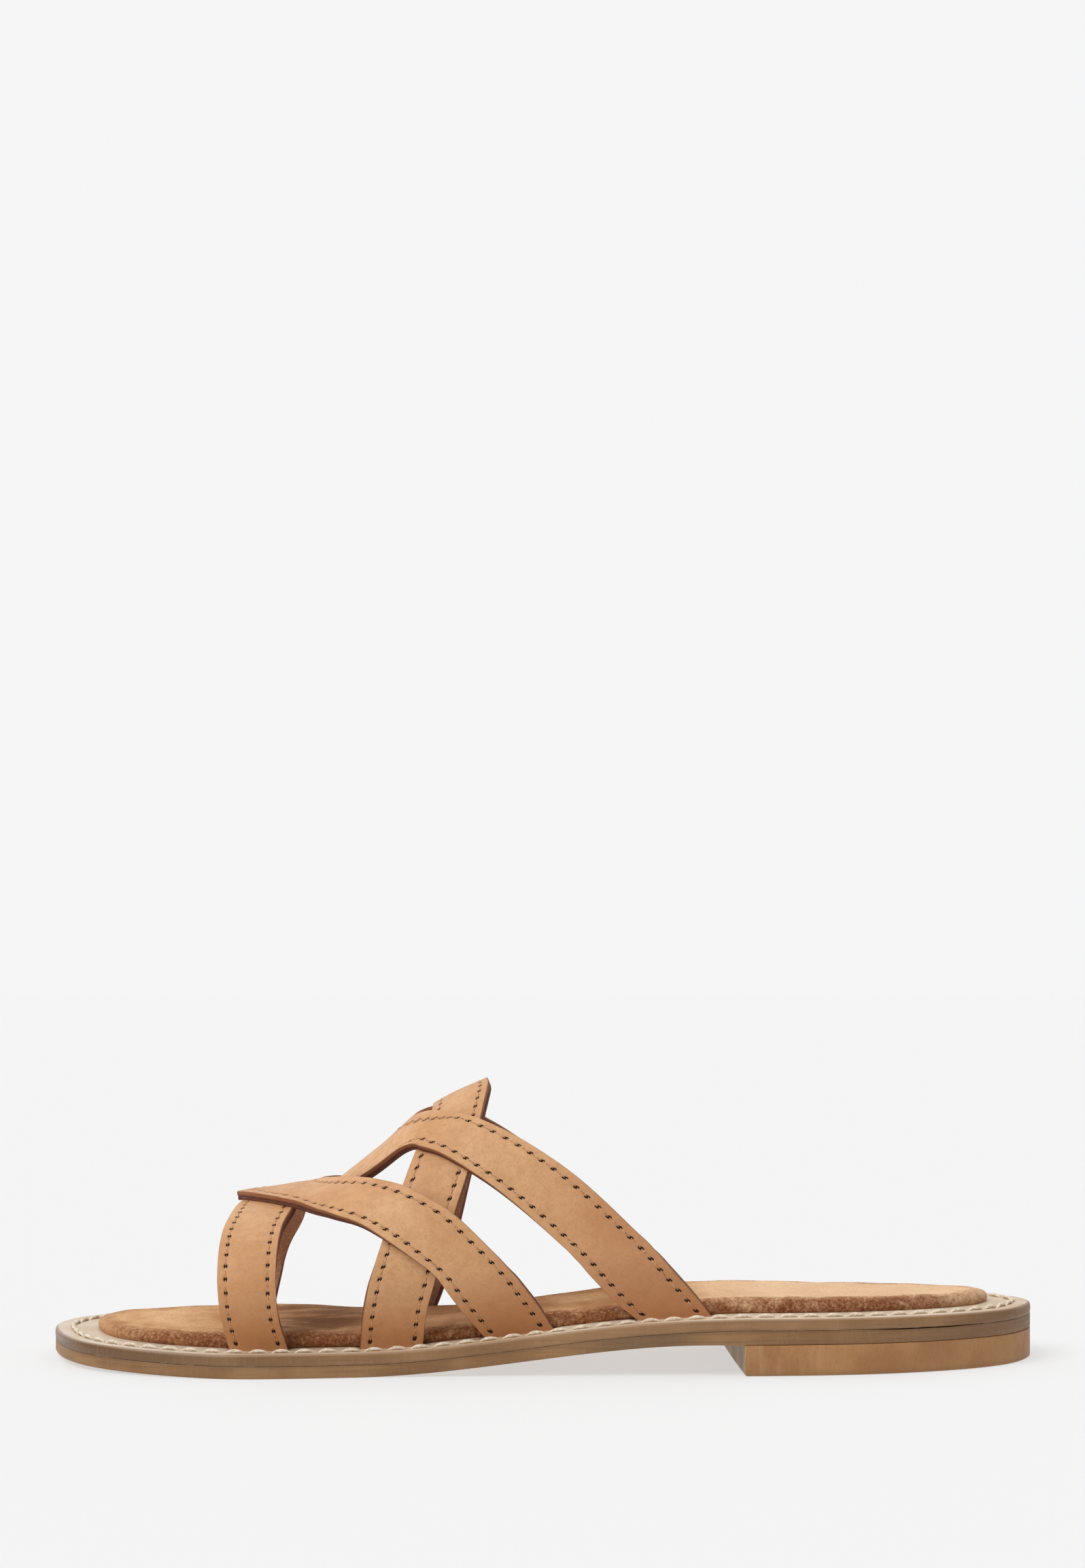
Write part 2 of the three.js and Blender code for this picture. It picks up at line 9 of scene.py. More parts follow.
import bmesh
import bpy
import numpy as np
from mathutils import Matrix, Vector


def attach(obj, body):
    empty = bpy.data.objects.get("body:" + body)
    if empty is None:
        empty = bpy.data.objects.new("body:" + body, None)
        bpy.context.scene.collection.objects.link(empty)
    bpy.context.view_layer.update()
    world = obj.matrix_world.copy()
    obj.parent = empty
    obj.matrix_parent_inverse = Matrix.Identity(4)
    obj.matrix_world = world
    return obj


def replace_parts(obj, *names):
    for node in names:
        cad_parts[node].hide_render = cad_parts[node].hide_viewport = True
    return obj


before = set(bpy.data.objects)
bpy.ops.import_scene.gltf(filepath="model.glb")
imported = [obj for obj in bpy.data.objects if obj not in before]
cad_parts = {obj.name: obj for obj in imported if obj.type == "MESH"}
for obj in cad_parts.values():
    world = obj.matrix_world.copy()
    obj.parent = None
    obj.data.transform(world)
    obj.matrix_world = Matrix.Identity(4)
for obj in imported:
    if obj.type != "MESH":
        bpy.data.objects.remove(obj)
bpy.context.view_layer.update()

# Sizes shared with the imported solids, in millimetres
MM = 0.001
TO_ROW = np.array([0.091, -2.632, 0.0])
SHOE_LENGTH = 262.0
BALL_WIDTH = 92.0
OUTSOLE_THICKNESS = 2.9
OUTSOLE_HEEL_THICKNESS = 3.4
MIDSOLE_THICKNESS = 3.3
FOOTBED_THICKNESS = 3.4
FOOTBED_END_THICKNESS = 2.6
FOOTBED_END_REACH = 1.1
FOOTBED_EDGE_RADIUS = 2.6
ARCH_RISE = 1.0
HEEL_HEIGHT = 7.9
HEEL_LENGTH = 79.0
HEEL_BREAST_SKEW = 2.8
HEEL_BREAST_BOW = 0.8
TOE_SPRING = 1.6
TOE_SPRING_POWER = 1.4
INSTEP_HEIGHT = 68.0
STRAP_WALL = 2.5
STRAP_INSET = 9.5
WELD_DEPTH = 0.15
SEAM = 0.3

# Shares of the shoe's length from its middle
SPRING_START = -0.314
SHANK_START = -0.184
SHANK_END = 0.161
HEEL_SEAT_START = 0.115
HEEL_SEAT_END = 0.21
TOE_END = -0.5
ARCH_MIDDLE = 0.125
ARCH_REACH = 0.17
ARCH_WIDTH = 0.25
FOOTBED_TAPER_START = 0.3
FOOTBED_TAPER_END = 0.46

# Share of the way from the ridge to the sole that is flank, below the widest place
FLANK_SHARE = 0.24

# Sizes of what only the looks show
STRAP_WIDTH = 16.5
SEAM_INSET = 2.4
STRAP_PITCH = 3.7
STRAP_THREAD_RADIUS = 0.15
HOLE_STRETCH = 1.2
ROWS_PER_STITCH = 10
WELT_SEAM_INSET = 4.7
WELT_PITCH = 5.9
WELT_STITCH_LENGTH = 5.2
WELT_THREAD_WIDTH = 1.25
WELT_THREAD_HEIGHT = 0.95
WELT_THREAD_TWIST = 1.6 * math.pi
WELT_THREAD_LOBES = 0.06
WELT_THREAD_SINK = 0.40
WELT_THREAD_RISE = 0.78
WELT_GROOVE_DEPTH = 0.28
WELT_GROOVE_WIDTH = 0.75
ROOT_DENT_DEPTH = 0.6
ROOT_DENT_REACH = 1.6
STRAP_PILLOW = 0.08
FURROW_DEPTH = 0.07
FURROW_WIDTH = 0.4
HOLE_DEPTH = 0.65
HOLE_REACH_ALONG = 0.55
HOLE_REACH_ACROSS = 0.42
THREAD_SINK = 0.03
THREAD_END_DIP = 0.62
PAD_WAVE = 0.2
PAD_RIPPLE = 0.11

# Brightness of the studio
FLOOR_GLOW = 0.55
FLOOR_ALBEDO = 0.35
WALL_GLOW = 0.92

OUTLINE = [
    (-0.500, 0.087), (-0.493, -0.043), (-0.476, -0.179), (-0.450, -0.286), (-0.410, -0.370),
    (-0.360, -0.430), (-0.295, -0.471), (-0.230, -0.459), (-0.153, -0.430), (-0.057, -0.417),
    (0.057, -0.418), (0.192, -0.416), (0.299, -0.389), (0.372, -0.333), (0.433, -0.248),
    (0.475, -0.139), (0.499, 0.027), (0.492, 0.130), (0.464, 0.233), (0.406, 0.298),
    (0.330, 0.322), (0.238, 0.311), (0.138, 0.296), (0.038, 0.311), (-0.061, 0.372),
    (-0.161, 0.463), (-0.253, 0.520), (-0.337, 0.524), (-0.410, 0.467), (-0.460, 0.374),
    (-0.489, 0.243),
]

# Columns: along, ridge, across, near, far, wide
LAST = [
    (-0.352, 0.444, 0.033, 0.060, 0.049, 0.220),
    (-0.314, 0.481, 0.033, 0.060, 0.049, 0.220),
    (-0.257, 0.512, 0.038, 0.060, 0.049, 0.220),
    (-0.215, 0.549, 0.043, 0.060, 0.043, 0.235),
    (-0.165, 0.686, 0.043, 0.060, 0.038, 0.250),
    (-0.115, 0.838, 0.043, 0.054, 0.038, 0.265),
    (-0.057, 0.928, 0.043, 0.049, 0.038, 0.265),
    (0.019, 0.997, 0.043, 0.043, 0.038, 0.265),
    (0.172, 1.112, 0.043, 0.033, 0.033, 0.265),
]

# Columns: fold, front, rear, and for a strap that rides over others raise_front, raise_rear
STRAP_A = [
    (-1.00, -0.305, -0.250), (-0.84, -0.312, -0.258), (-0.66, -0.315, -0.260),
    (-0.40, -0.315, -0.257), (-0.20, -0.310, -0.248), (0.00, -0.304, -0.251),
    (0.20, -0.306, -0.248), (0.40, -0.313, -0.252), (0.66, -0.328, -0.272),
    (0.84, -0.339, -0.282), (1.00, -0.346, -0.289),
]
STRAP_B = [
    (-1.00, -0.057, 0.011, 0, 0), (-0.90, -0.076, -0.004, 0.3, 0.3),
    (-0.80, -0.096, -0.023, 0.8, 0.8), (-0.76, -0.106, -0.034, 0.9, 0.9),
    (-0.68, -0.134, -0.060, 1, 1),
    (-0.60, -0.157, -0.086, 1, 1), (-0.52, -0.178, -0.115, 1, 1),
    (-0.45, -0.197, -0.135, 1, 1), (-0.38, -0.214, -0.154, 1, 1),
    (-0.30, -0.235, -0.174, 1, 1), (-0.20, -0.263, -0.192, 1, 1),
    (-0.10, -0.291, -0.207, 1, 1), (0.00, -0.310, -0.218, 1, 1),
    (0.10, -0.291, -0.216, 1, 1), (0.20, -0.270, -0.206, 1, 1),
    (0.30, -0.250, -0.194, 1, 1), (0.38, -0.237, -0.182, 1, 1),
    (0.45, -0.222, -0.166, 1, 1), (0.52, -0.206, -0.147, 1, 1),
    (0.60, -0.186, -0.117, 1, 1), (0.68, -0.162, -0.090, 1, 1),
    (0.80, -0.123, -0.050, 1, 1), (0.90, -0.097, -0.026, 0.6, 0.6),
    (1.00, -0.076, -0.009, 0, 0),
]
STRAP_C = [
    (-1.00, -0.180, -0.118), (-0.87, -0.177, -0.114), (-0.75, -0.170, -0.103),
    (-0.60, -0.156, -0.087), (-0.43, -0.135, -0.068), (-0.25, -0.116, -0.057),
    (-0.12, -0.108, -0.052), (0.00, -0.107, -0.053), (0.12, -0.108, -0.053),
    (0.25, -0.116, -0.057), (0.43, -0.134, -0.068), (0.60, -0.153, -0.082),
    (0.75, -0.167, -0.095), (0.87, -0.175, -0.105), (1.00, -0.184, -0.119),
]
STRAP_D = [
    (-1.00, 0.093, 0.166, 0, 0), (-0.93, 0.073, 0.152, 0, 0), (-0.82, 0.046, 0.126, 0, 0),
    (-0.76, 0.031, 0.110, 0, 0), (-0.70, 0.009, 0.086, 0, 0),
    (-0.64, -0.013, 0.063, 0.1, 0), (-0.56, -0.042, 0.033, 0.3, 0),
    (-0.45, -0.082, -0.010, 0.9, 0.2), (-0.36, -0.111, -0.045, 1, 0.6),
    (-0.29, -0.134, -0.071, 0.8, 0.9), (-0.26, -0.172, -0.083, 0.4, 1),
    (-0.22, -0.202, -0.096, 0, 1), (-0.12, -0.232, -0.116, 0, 0.5),
    (0.00, -0.255, -0.130, 0, 0), (0.12, -0.232, -0.116, 0, 0.5),
    (0.22, -0.202, -0.096, 0, 1), (0.26, -0.172, -0.084, 0.4, 1),
    (0.29, -0.135, -0.073, 0.8, 0.9), (0.36, -0.112, -0.053, 1, 0.6),
    (0.45, -0.089, -0.024, 0.9, 0.2), (0.56, -0.061, 0.014, 0.3, 0),
    (0.70, -0.006, 0.070, 0, 0), (0.82, 0.035, 0.112, 0, 0), (0.93, 0.064, 0.142, 0, 0),
    (1.00, 0.082, 0.151, 0, 0),
]

# Rounded edge of the footbed from the bottom up: share of its thickness, share of its radius
FOOTBED_EDGE = [(0.00, 0.12), (0.30, 0.00), (0.62, 0.12), (0.85, 0.42), (1.00, 1.10)]


# General curves

def smoothstep(start, end, value):
    t = np.clip((value - start) / (end - start), 0.0, 1.0)
    return t * t * (3.0 - 2.0 * t)


def lerp(a, b, t):
    return a + (b - a) * t


def column(rows, index):
    """A smooth curve through one column of a table, keyed by its first column."""
    xs = np.array([row[0] for row in rows], float)
    ys = np.array([row[index] for row in rows], float)
    last = len(xs) - 1
    low = np.maximum(np.arange(last + 1) - 1, 0)
    high = np.minimum(np.arange(last + 1) + 1, last)
    slopes = (ys[high] - ys[low]) / (xs[high] - xs[low])

    def curve(x):
        x = np.asarray(x, float)
        i = np.clip(np.searchsorted(xs, x, side="right") - 1, 0, last - 1)
        span = xs[i + 1] - xs[i]
        t = (x - xs[i]) / span
        rise = ys[i + 1] - ys[i]
        left = ys[i] + slopes[i] * span * t + (rise - slopes[i] * span) * t * t
        back = 1.0 - t
        right = ys[i + 1] - slopes[i + 1] * span * back
        right = right + (slopes[i + 1] * span - rise) * back * back
        inside = lerp(left, right, t * t * (3.0 - 2.0 * t))
        before = ys[0] + slopes[0] * (x - xs[0])
        after = ys[last] + slopes[last] * (x - xs[last])
        return np.where(x <= xs[0], before, np.where(x >= xs[last], after, inside))

    return curve


def closed_curve(knots, count, steps=40):
    """Points spaced evenly along a closed centripetal Catmull-Rom curve through the knots."""
    pieces = []
    total = len(knots)
    t = np.linspace(0.0, 1.0, steps, endpoint=False)[:, None]
    for i in range(total):
        p0, p1, p2, p3 = (knots[(i + k - 1) % total] for k in range(4))
        d0, d1, d2 = (np.linalg.norm(b - a) ** 0.5 for a, b in ((p0, p1), (p1, p2), (p2, p3)))
        m1 = d1 * ((p1 - p0) / d0 - (p2 - p0) / (d0 + d1) + (p2 - p1) / d1)
        m2 = d1 * ((p2 - p1) / d1 - (p3 - p1) / (d1 + d2) + (p3 - p2) / d2)
        square = 3.0 * (p2 - p1) - 2.0 * m1 - m2
        cube = 2.0 * (p1 - p2) + m1 + m2
        pieces.append(p1 + m1 * t + square * t ** 2 + cube * t ** 3)
    dense = np.concatenate(pieces + [pieces[0][:1]])
    length = np.concatenate([[0.0], np.cumsum(np.linalg.norm(np.diff(dense, axis=0), axis=1))])
    wanted = np.linspace(0.0, length[-1], count, endpoint=False)
    return np.stack([np.interp(wanted, length, dense[:, k]) for k in range(2)], axis=1)


# Heights along the sole

def tread_height(x):
    along = x / SHOE_LENGTH
    spring = np.maximum(0.0, (SPRING_START - along) / (SPRING_START - TOE_END))
    lift = HEEL_HEIGHT * smoothstep(SHANK_START, SHANK_END, along)
    return lift + TOE_SPRING * spring ** TOE_SPRING_POWER


def parting_height(x):
    seat = smoothstep(HEEL_SEAT_START, HEEL_SEAT_END, x / SHOE_LENGTH)
    return tread_height(x) + lerp(OUTSOLE_THICKNESS, OUTSOLE_HEEL_THICKNESS, seat)


def sole_top(x):
    return parting_height(x) + MIDSOLE_THICKNESS


# Outline in plan

def inset(points, distance):
    """The outline moved inwards by the same distance everywhere."""
    heading = np.roll(points, -1, axis=0) - np.roll(points, 1, axis=0)
    heading = heading / np.linalg.norm(heading, axis=1)[:, None]
    return points + distance * np.stack([-heading[:, 1], heading[:, 0]], axis=1)


class Sides:
    """The outer and inner side of an outline as functions of the length along the shoe."""

    def __init__(self, points):
        count = len(points)
        toe = int(np.argmin(points[:, 0]))
        heel = int(np.argmax(points[:, 0]))
        outer = points[(toe + np.arange((heel - toe) % count + 1)) % count]
        inner = points[(toe - np.arange((toe - heel) % count + 1)) % count]
        self.toe = points[toe]
        self.heel = points[heel]
        self.outer = (np.maximum.accumulate(outer[:, 0]), outer[:, 1])
        self.inner = (np.maximum.accumulate(inner[:, 0]), inner[:, 1])

    def near(self, x):
        return np.interp(x, *self.outer)

    def far(self, x):
        return np.interp(x, *self.inner)

    def stations(self, count, stretch=1.0):
        """Lengths from the toe to the heel, close together at both round ends."""
        share = (1.0 - np.cos(np.pi * np.arange(count + 1) / count)) / 2.0
        x = lerp(self.toe[0], self.heel[0], share)
        return x * stretch, self.near(x), self.far(x)


KNOTS = np.array(OUTLINE) * [SHOE_LENGTH, BALL_WIDTH]
RIM = closed_curve(KNOTS, 960)
ROOT = Sides(inset(RIM, STRAP_INSET + STRAP_WALL))
RIM_SIDES = Sides(RIM)

last_ridge = column(LAST, 1)
last_across = column(LAST, 2)
last_near = column(LAST, 3)
last_far = column(LAST, 4)
last_wide = column(LAST, 5)


def last_point(x, fold):
    """A point of the last, whose surface is the inside of the straps."""
    along = x / SHOE_LENGTH
    outer = fold < 0
    side = np.where(outer, -1.0, 1.0)
    root = np.where(outer, ROOT.near(x), ROOT.far(x))
    swell = np.where(outer, last_near(along), last_far(along)) * BALL_WIDTH
    floor = sole_top(x)
    widest = root + side * swell
    wide_height = floor + last_wide(along) * INSTEP_HEIGHT
    shoulder = 1.0 - FLANK_SHARE
    down = (np.abs(fold) - shoulder) / FLANK_SHARE
    flank_y = widest - side * swell * smoothstep(0.0, 1.0, down)
    flank_z = lerp(wide_height, floor, down)
    angle = np.abs(fold) / shoulder * math.pi / 2.0
    middle = last_across(along) * BALL_WIDTH
    ridge = floor + last_ridge(along) * INSTEP_HEIGHT
    arch_y = lerp(middle, widest, np.sin(angle))
    arch_z = lerp(wide_height, ridge, np.cos(angle))
    on_flank = down > 0
    y = np.where(on_flank, flank_y, arch_y)
    z = np.where(on_flank, flank_z, arch_z)
    return np.stack([x, y, z], axis=-1)


def last_normal(x, fold):
    """Outward direction of the last's surface."""
    reach = 0.5
    step = 0.01
    along = last_point(x + reach, fold) - last_point(x - reach, fold)
    around = last_point(x, np.minimum(fold + step, 1.0)) - last_point(x, np.maximum(fold - step, -1.0))
    normal = np.cross(along, around)
    normal[np.abs(fold) > 0.9999, 2] = 0.0
    return normal / np.linalg.norm(normal, axis=-1)[..., None]


# Meshes

def to_row(points):
    return (np.asarray(points, float).reshape(-1, 3) + TO_ROW) * MM


def grid_faces(rows, columns, wrap=False, start=0):
    """Quads of a grid of points, closed across its columns if wrap is set."""
    i, j = np.meshgrid(np.arange(rows - 1), np.arange(columns if wrap else columns - 1), indexing="ij")
    k = (j + 1) % columns
    this_row = i * columns
    next_row = this_row + columns
    quads = np.stack([this_row + j, this_row + k, next_row + k, next_row + j], axis=-1)
    return (quads.reshape(-1, 4) + start).tolist()


def add_piece(name, points, faces, material, values=None, clean=False):
    """A mesh object in the row frame that rides with the shoe. values are shading attributes."""
    mesh = bpy.data.meshes.new(name)
    mesh.from_pydata(to_row(points).tolist(), [], faces)
    for key, numbers in (values or {}).items():
        attribute = mesh.attributes.new(key, "FLOAT", "POINT")
        attribute.data.foreach_set("value", np.asarray(numbers, np.float32).ravel())
    work = bmesh.new()
    work.from_mesh(mesh)
    if clean:
        bmesh.ops.remove_doubles(work, verts=work.verts, dist=1e-6)
        bmesh.ops.dissolve_degenerate(work, dist=1e-7, edges=work.edges)
    bmesh.ops.recalc_face_normals(work, faces=work.faces)
    work.to_mesh(mesh)
    work.free()
    mesh.polygons.foreach_set("use_smooth", [True] * len(mesh.polygons))
    mesh.materials.append(material)
    piece = bpy.data.objects.new(name, mesh)
    bpy.context.scene.collection.objects.link(piece)
    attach(piece, "root")
    return piece


def layer_points(rings, count, shares, stretch=1.0):
    """A closed layer as one loop of points per station: floor, inner wall, top and outer wall.

    rings are (inset, height function) from the bottom up, shares the top sheet's columns.
    """
    outlines = [Sides(inset(RIM, distance)).stations(count, stretch) for distance, _ in rings]
    loops = []

    def place(k, share):
        x, near, far = outlines[k]
        y = lerp(near, far, share)
        return np.stack([x, y, rings[k][1](x, y)], axis=-1)

    floor_shares = (0.0, 0.25, 0.5, 0.75)
    loops += [place(0, share) for share in floor_shares]
    loops += [place(k, 1.0) for k in range(len(rings))]
    x, near, far = outlines[-1]
    loops += [place(len(rings) - 1, share) for share in shares(near, far)[::-1]]
    loops += [place(k, 0.0) for k in range(len(rings) - 1, 0, -1)]
    return np.stack(loops, axis=1)


# Materials

class Graph:
    """A node material built from small sums. Lengths in it are millimetres."""

    def __init__(self, name):
        self.material = bpy.data.materials.new(name)
        self.material.use_nodes = True
        self.nodes = self.material.node_tree.nodes
        self.links = self.material.node_tree.links
        self.shader = self.nodes["Principled BSDF"]
        place = self.node("ShaderNodeTexCoord").outputs["Object"]
        self.place = self.vector("SCALE", place, scale=1.0 / MM)

    def node(self, kind, **settings):
        node = self.nodes.new(kind)
        for key, value in settings.items():
            setattr(node, key, value)
        return node

    def feed(self, socket, value):
        if isinstance(value, bpy.types.NodeSocket):
            self.links.new(value, socket)
        else:
            socket.default_value = value

    def vector(self, operation, a, b=(0.0, 0.0, 0.0), scale=1.0):
        node = self.node("ShaderNodeVectorMath", operation=operation)
        self.feed(node.inputs[0], a)
        if operation == "SCALE":
            self.feed(node.inputs["Scale"], scale)
        else:
            self.feed(node.inputs[1], b)
        return node.outputs[0]

    def sum(self, operation, a, b=0.0):
        node = self.node("ShaderNodeMath", operation=operation)
        self.feed(node.inputs[0], a)
        self.feed(node.inputs[1], b)
        return node.outputs[0]

    def value(self, key):
        return self.node("ShaderNodeAttribute", attribute_name=key).outputs["Fac"]

    def rise(self, value, start, end, low=0.0, high=1.0):
        """From low at start to high at end, smoothly."""
        node = self.node("ShaderNodeMapRange", interpolation_type="SMOOTHSTEP")
        names = ("Value", "From Min", "From Max", "To Min", "To Max")
        for name, number in zip(names, (value, start, end, low, high)):
            self.feed(node.inputs[name], number)
        return node.outputs[0]

    def noise(self, size, detail=2.0, roughness=0.5, stretch=(1.0, 1.0, 1.0), vector=None, warp=0.0):
        """Noise whose blobs are about size across, longer along an axis whose stretch is over 1."""
        base = self.place if vector is None else vector
        scaled = self.vector("MULTIPLY", base, tuple(1.0 / (size * s) for s in stretch))
        node = self.node("ShaderNodeTexNoise")
        self.feed(node.inputs["Vector"], scaled)
        node.inputs["Scale"].default_value = 1.0
        node.inputs["Detail"].default_value = detail
        node.inputs["Roughness"].default_value = roughness
        node.inputs["Distortion"].default_value = warp
        return node.outputs["Fac"]

    def mix(self, share, a, b):
        node = self.node("ShaderNodeMix", data_type="RGBA")
        self.feed(node.inputs["Factor"], share)
        self.feed(node.inputs[6], a)
        self.feed(node.inputs[7], b)
        return node.outputs[2]

    def tint(self, colour, other, mask, share):
        """colour turned to other by share where mask is 1."""
        return self.mix(self.sum("MULTIPLY", mask, share), colour, other)

    def combine(self, x, y, z):
        node = self.node("ShaderNodeCombineXYZ")
        for socket, number in zip(node.inputs, (x, y, z)):
            self.feed(socket, number)
        return node.outputs[0]

    def axis(self, name):
        node = self.node("ShaderNodeSeparateXYZ")
        self.feed(node.inputs[0], self.place)
        return node.outputs[name]

    def bump(self, height, depth):
        """height is 0 to 1 and depth is how many millimetres 1 stands for."""
        node = self.node("ShaderNodeBump")
        self.feed(node.inputs["Height"], height)
        node.inputs["Distance"].default_value = depth * MM
        self.links.new(node.outputs[0], self.shader.inputs["Normal"])

    def set(self, name, value):
        self.feed(self.shader.inputs[name], value)


def tone(code):
    """A linear colour from a six-digit sRGB code."""
    parts = [int(code[i:i + 2], 16) / 255.0 for i in (0, 2, 4)]
    linear = [p / 12.92 if p <= 0.04045 else ((p + 0.055) / 1.055) ** 2.4 for p in parts]
    return tuple(linear) + (1.0,)


def strap_material():
    g = Graph("strap_leather")
    along = g.value("along")
    across = g.value("across")
    wall = g.value("wall")
    face = g.value("face")
    lining = g.value("lining")
    skin = g.combine(along, across, wall)

    cloud = g.noise(26.0, detail=2.0)
    mottle = g.noise(2.6, detail=3.0, roughness=0.6)
    pores = g.noise(0.55, detail=2.0, roughness=0.6)
    colour = g.mix(g.rise(cloud, 0.35, 0.65), tone("D29A69"), tone("DFAC7B"))
    colour = g.tint(colour, tone("BE8858"), g.rise(mottle, 0.35, 0.7), 0.35)
    colour = g.tint(colour, tone("B47C50"), g.rise(pores, 0.45, 0.75), 0.34)
    # Painted shade: the straps turn darker towards their lower parts, which get less light
    low = g.rise(g.axis("Z"), 36.0, 9.0)
    colour = g.tint(colour, tone("B87B4C"), low, 0.38)
    # Painted shade: the rear and lower parts of the straps, which face away from the key light, turn
    # darker and redder
    painted_rear_shade = g.rise(g.sum("SUBTRACT", g.axis("X"), g.axis("Z")), -80.0, 35.0)
    colour = g.tint(colour, tone("AE6C42"), painted_rear_shade, 0.6)

    from_edge = g.sum("MINIMUM", across, g.sum("SUBTRACT", STRAP_WIDTH, across))
    margin = g.rise(from_edge, 0.22, 0.05)
    colour = g.tint(colour, tone("8E5936"), margin, 0.5)

    step = g.sum("FRACT", g.sum("DIVIDE", along, STRAP_PITCH))
    from_hole = g.sum("ABSOLUTE", g.sum("SUBTRACT", step, 0.5))
    to_hole = g.sum("MULTIPLY", from_hole, STRAP_PITCH / HOLE_STRETCH)
    to_row_line = g.sum("ABSOLUTE", g.sum("SUBTRACT", from_edge, SEAM_INSET))
    squares = g.sum("ADD", g.sum("POWER", to_hole, 2.0), g.sum("POWER", to_row_line, 2.0))
    distance = g.sum("SQRT", squares)
    # Painted shade: the inside of each stitch hole is painted near black
    painted_hole_shade = g.sum("MULTIPLY", g.rise(distance, 0.60, 0.50), face)
    halo = g.sum("MULTIPLY", g.rise(distance, 0.95, 0.5), face)
    furrow = g.sum("MULTIPLY", g.rise(to_row_line, 0.26, 0.06), face)
    colour = g.tint(colour, tone("A56C42"), halo, 0.22)
    colour = g.tint(colour, tone("94603A"), furrow, 0.2)
    colour = g.mix(painted_hole_shade, colour, tone("2A1006"))

    fibre = g.noise(0.5, detail=3.0, roughness=0.7, stretch=(5.0, 1.0, 0.6), vector=skin)
    upper_layer = g.mix(g.rise(fibre, 0.35, 0.65), tone("8F5738"), tone("A66E4B"))
    lower_layer = g.mix(g.rise(fibre, 0.35, 0.65), tone("5C3525"), tone("784936"))
    edge_colour = g.mix(g.rise(wall, 1.3, 1.6), lower_layer, upper_layer)
    groove = g.sum("MULTIPLY", g.rise(g.sum("ABSOLUTE", g.sum("SUBTRACT", wall, 1.08)), 0.16, 0.04), 0.6)
    edge_colour = g.mix(groove, edge_colour, tone("4A2A1C"))

    fuzz = g.noise(0.7, detail=4.0, roughness=0.75)
    blotch = g.noise(4.0, detail=2.0)
    lining_colour = g.mix(g.rise(fuzz, 0.3, 0.7), tone("A5755A"), tone("CFA486"))
    lining_colour = g.tint(lining_colour, tone("8D6A53"), g.rise(blotch, 0.4, 0.7), 0.4)

    shown = g.mix(lining, g.mix(face, edge_colour, colour), lining_colour)
    g.set("Base Color", shown)
    rough_face = g.rise(mottle, 0.3, 0.7, 0.46, 0.58)
    off_face = g.sum("SUBTRACT", 1.0, face)
    g.set("Roughness", g.sum("MAXIMUM", g.sum("MULTIPLY", off_face, 0.85), rough_face))
    g.shader.inputs["Specular IOR Level"].default_value = 0.4
    grain = g.sum("MULTIPLY", pores, 0.35)
    grain = g.sum("ADD", grain, g.sum("MULTIPLY", mottle, 0.5))
    rough = g.sum("MULTIPLY", off_face, g.sum("ADD", fuzz, fibre))
    g.bump(g.sum("ADD", grain, rough), 0.12)
    return g.material


def thread_material(name, light, dark, size):
    g = Graph(name)
    strand = g.noise(size, detail=2.0, roughness=0.6)
    g.set("Base Color", g.mix(g.rise(strand, 0.35, 0.65), dark, light))
    g.set("Roughness", 0.6)
    g.bump(strand, 0.08)
    return g.material


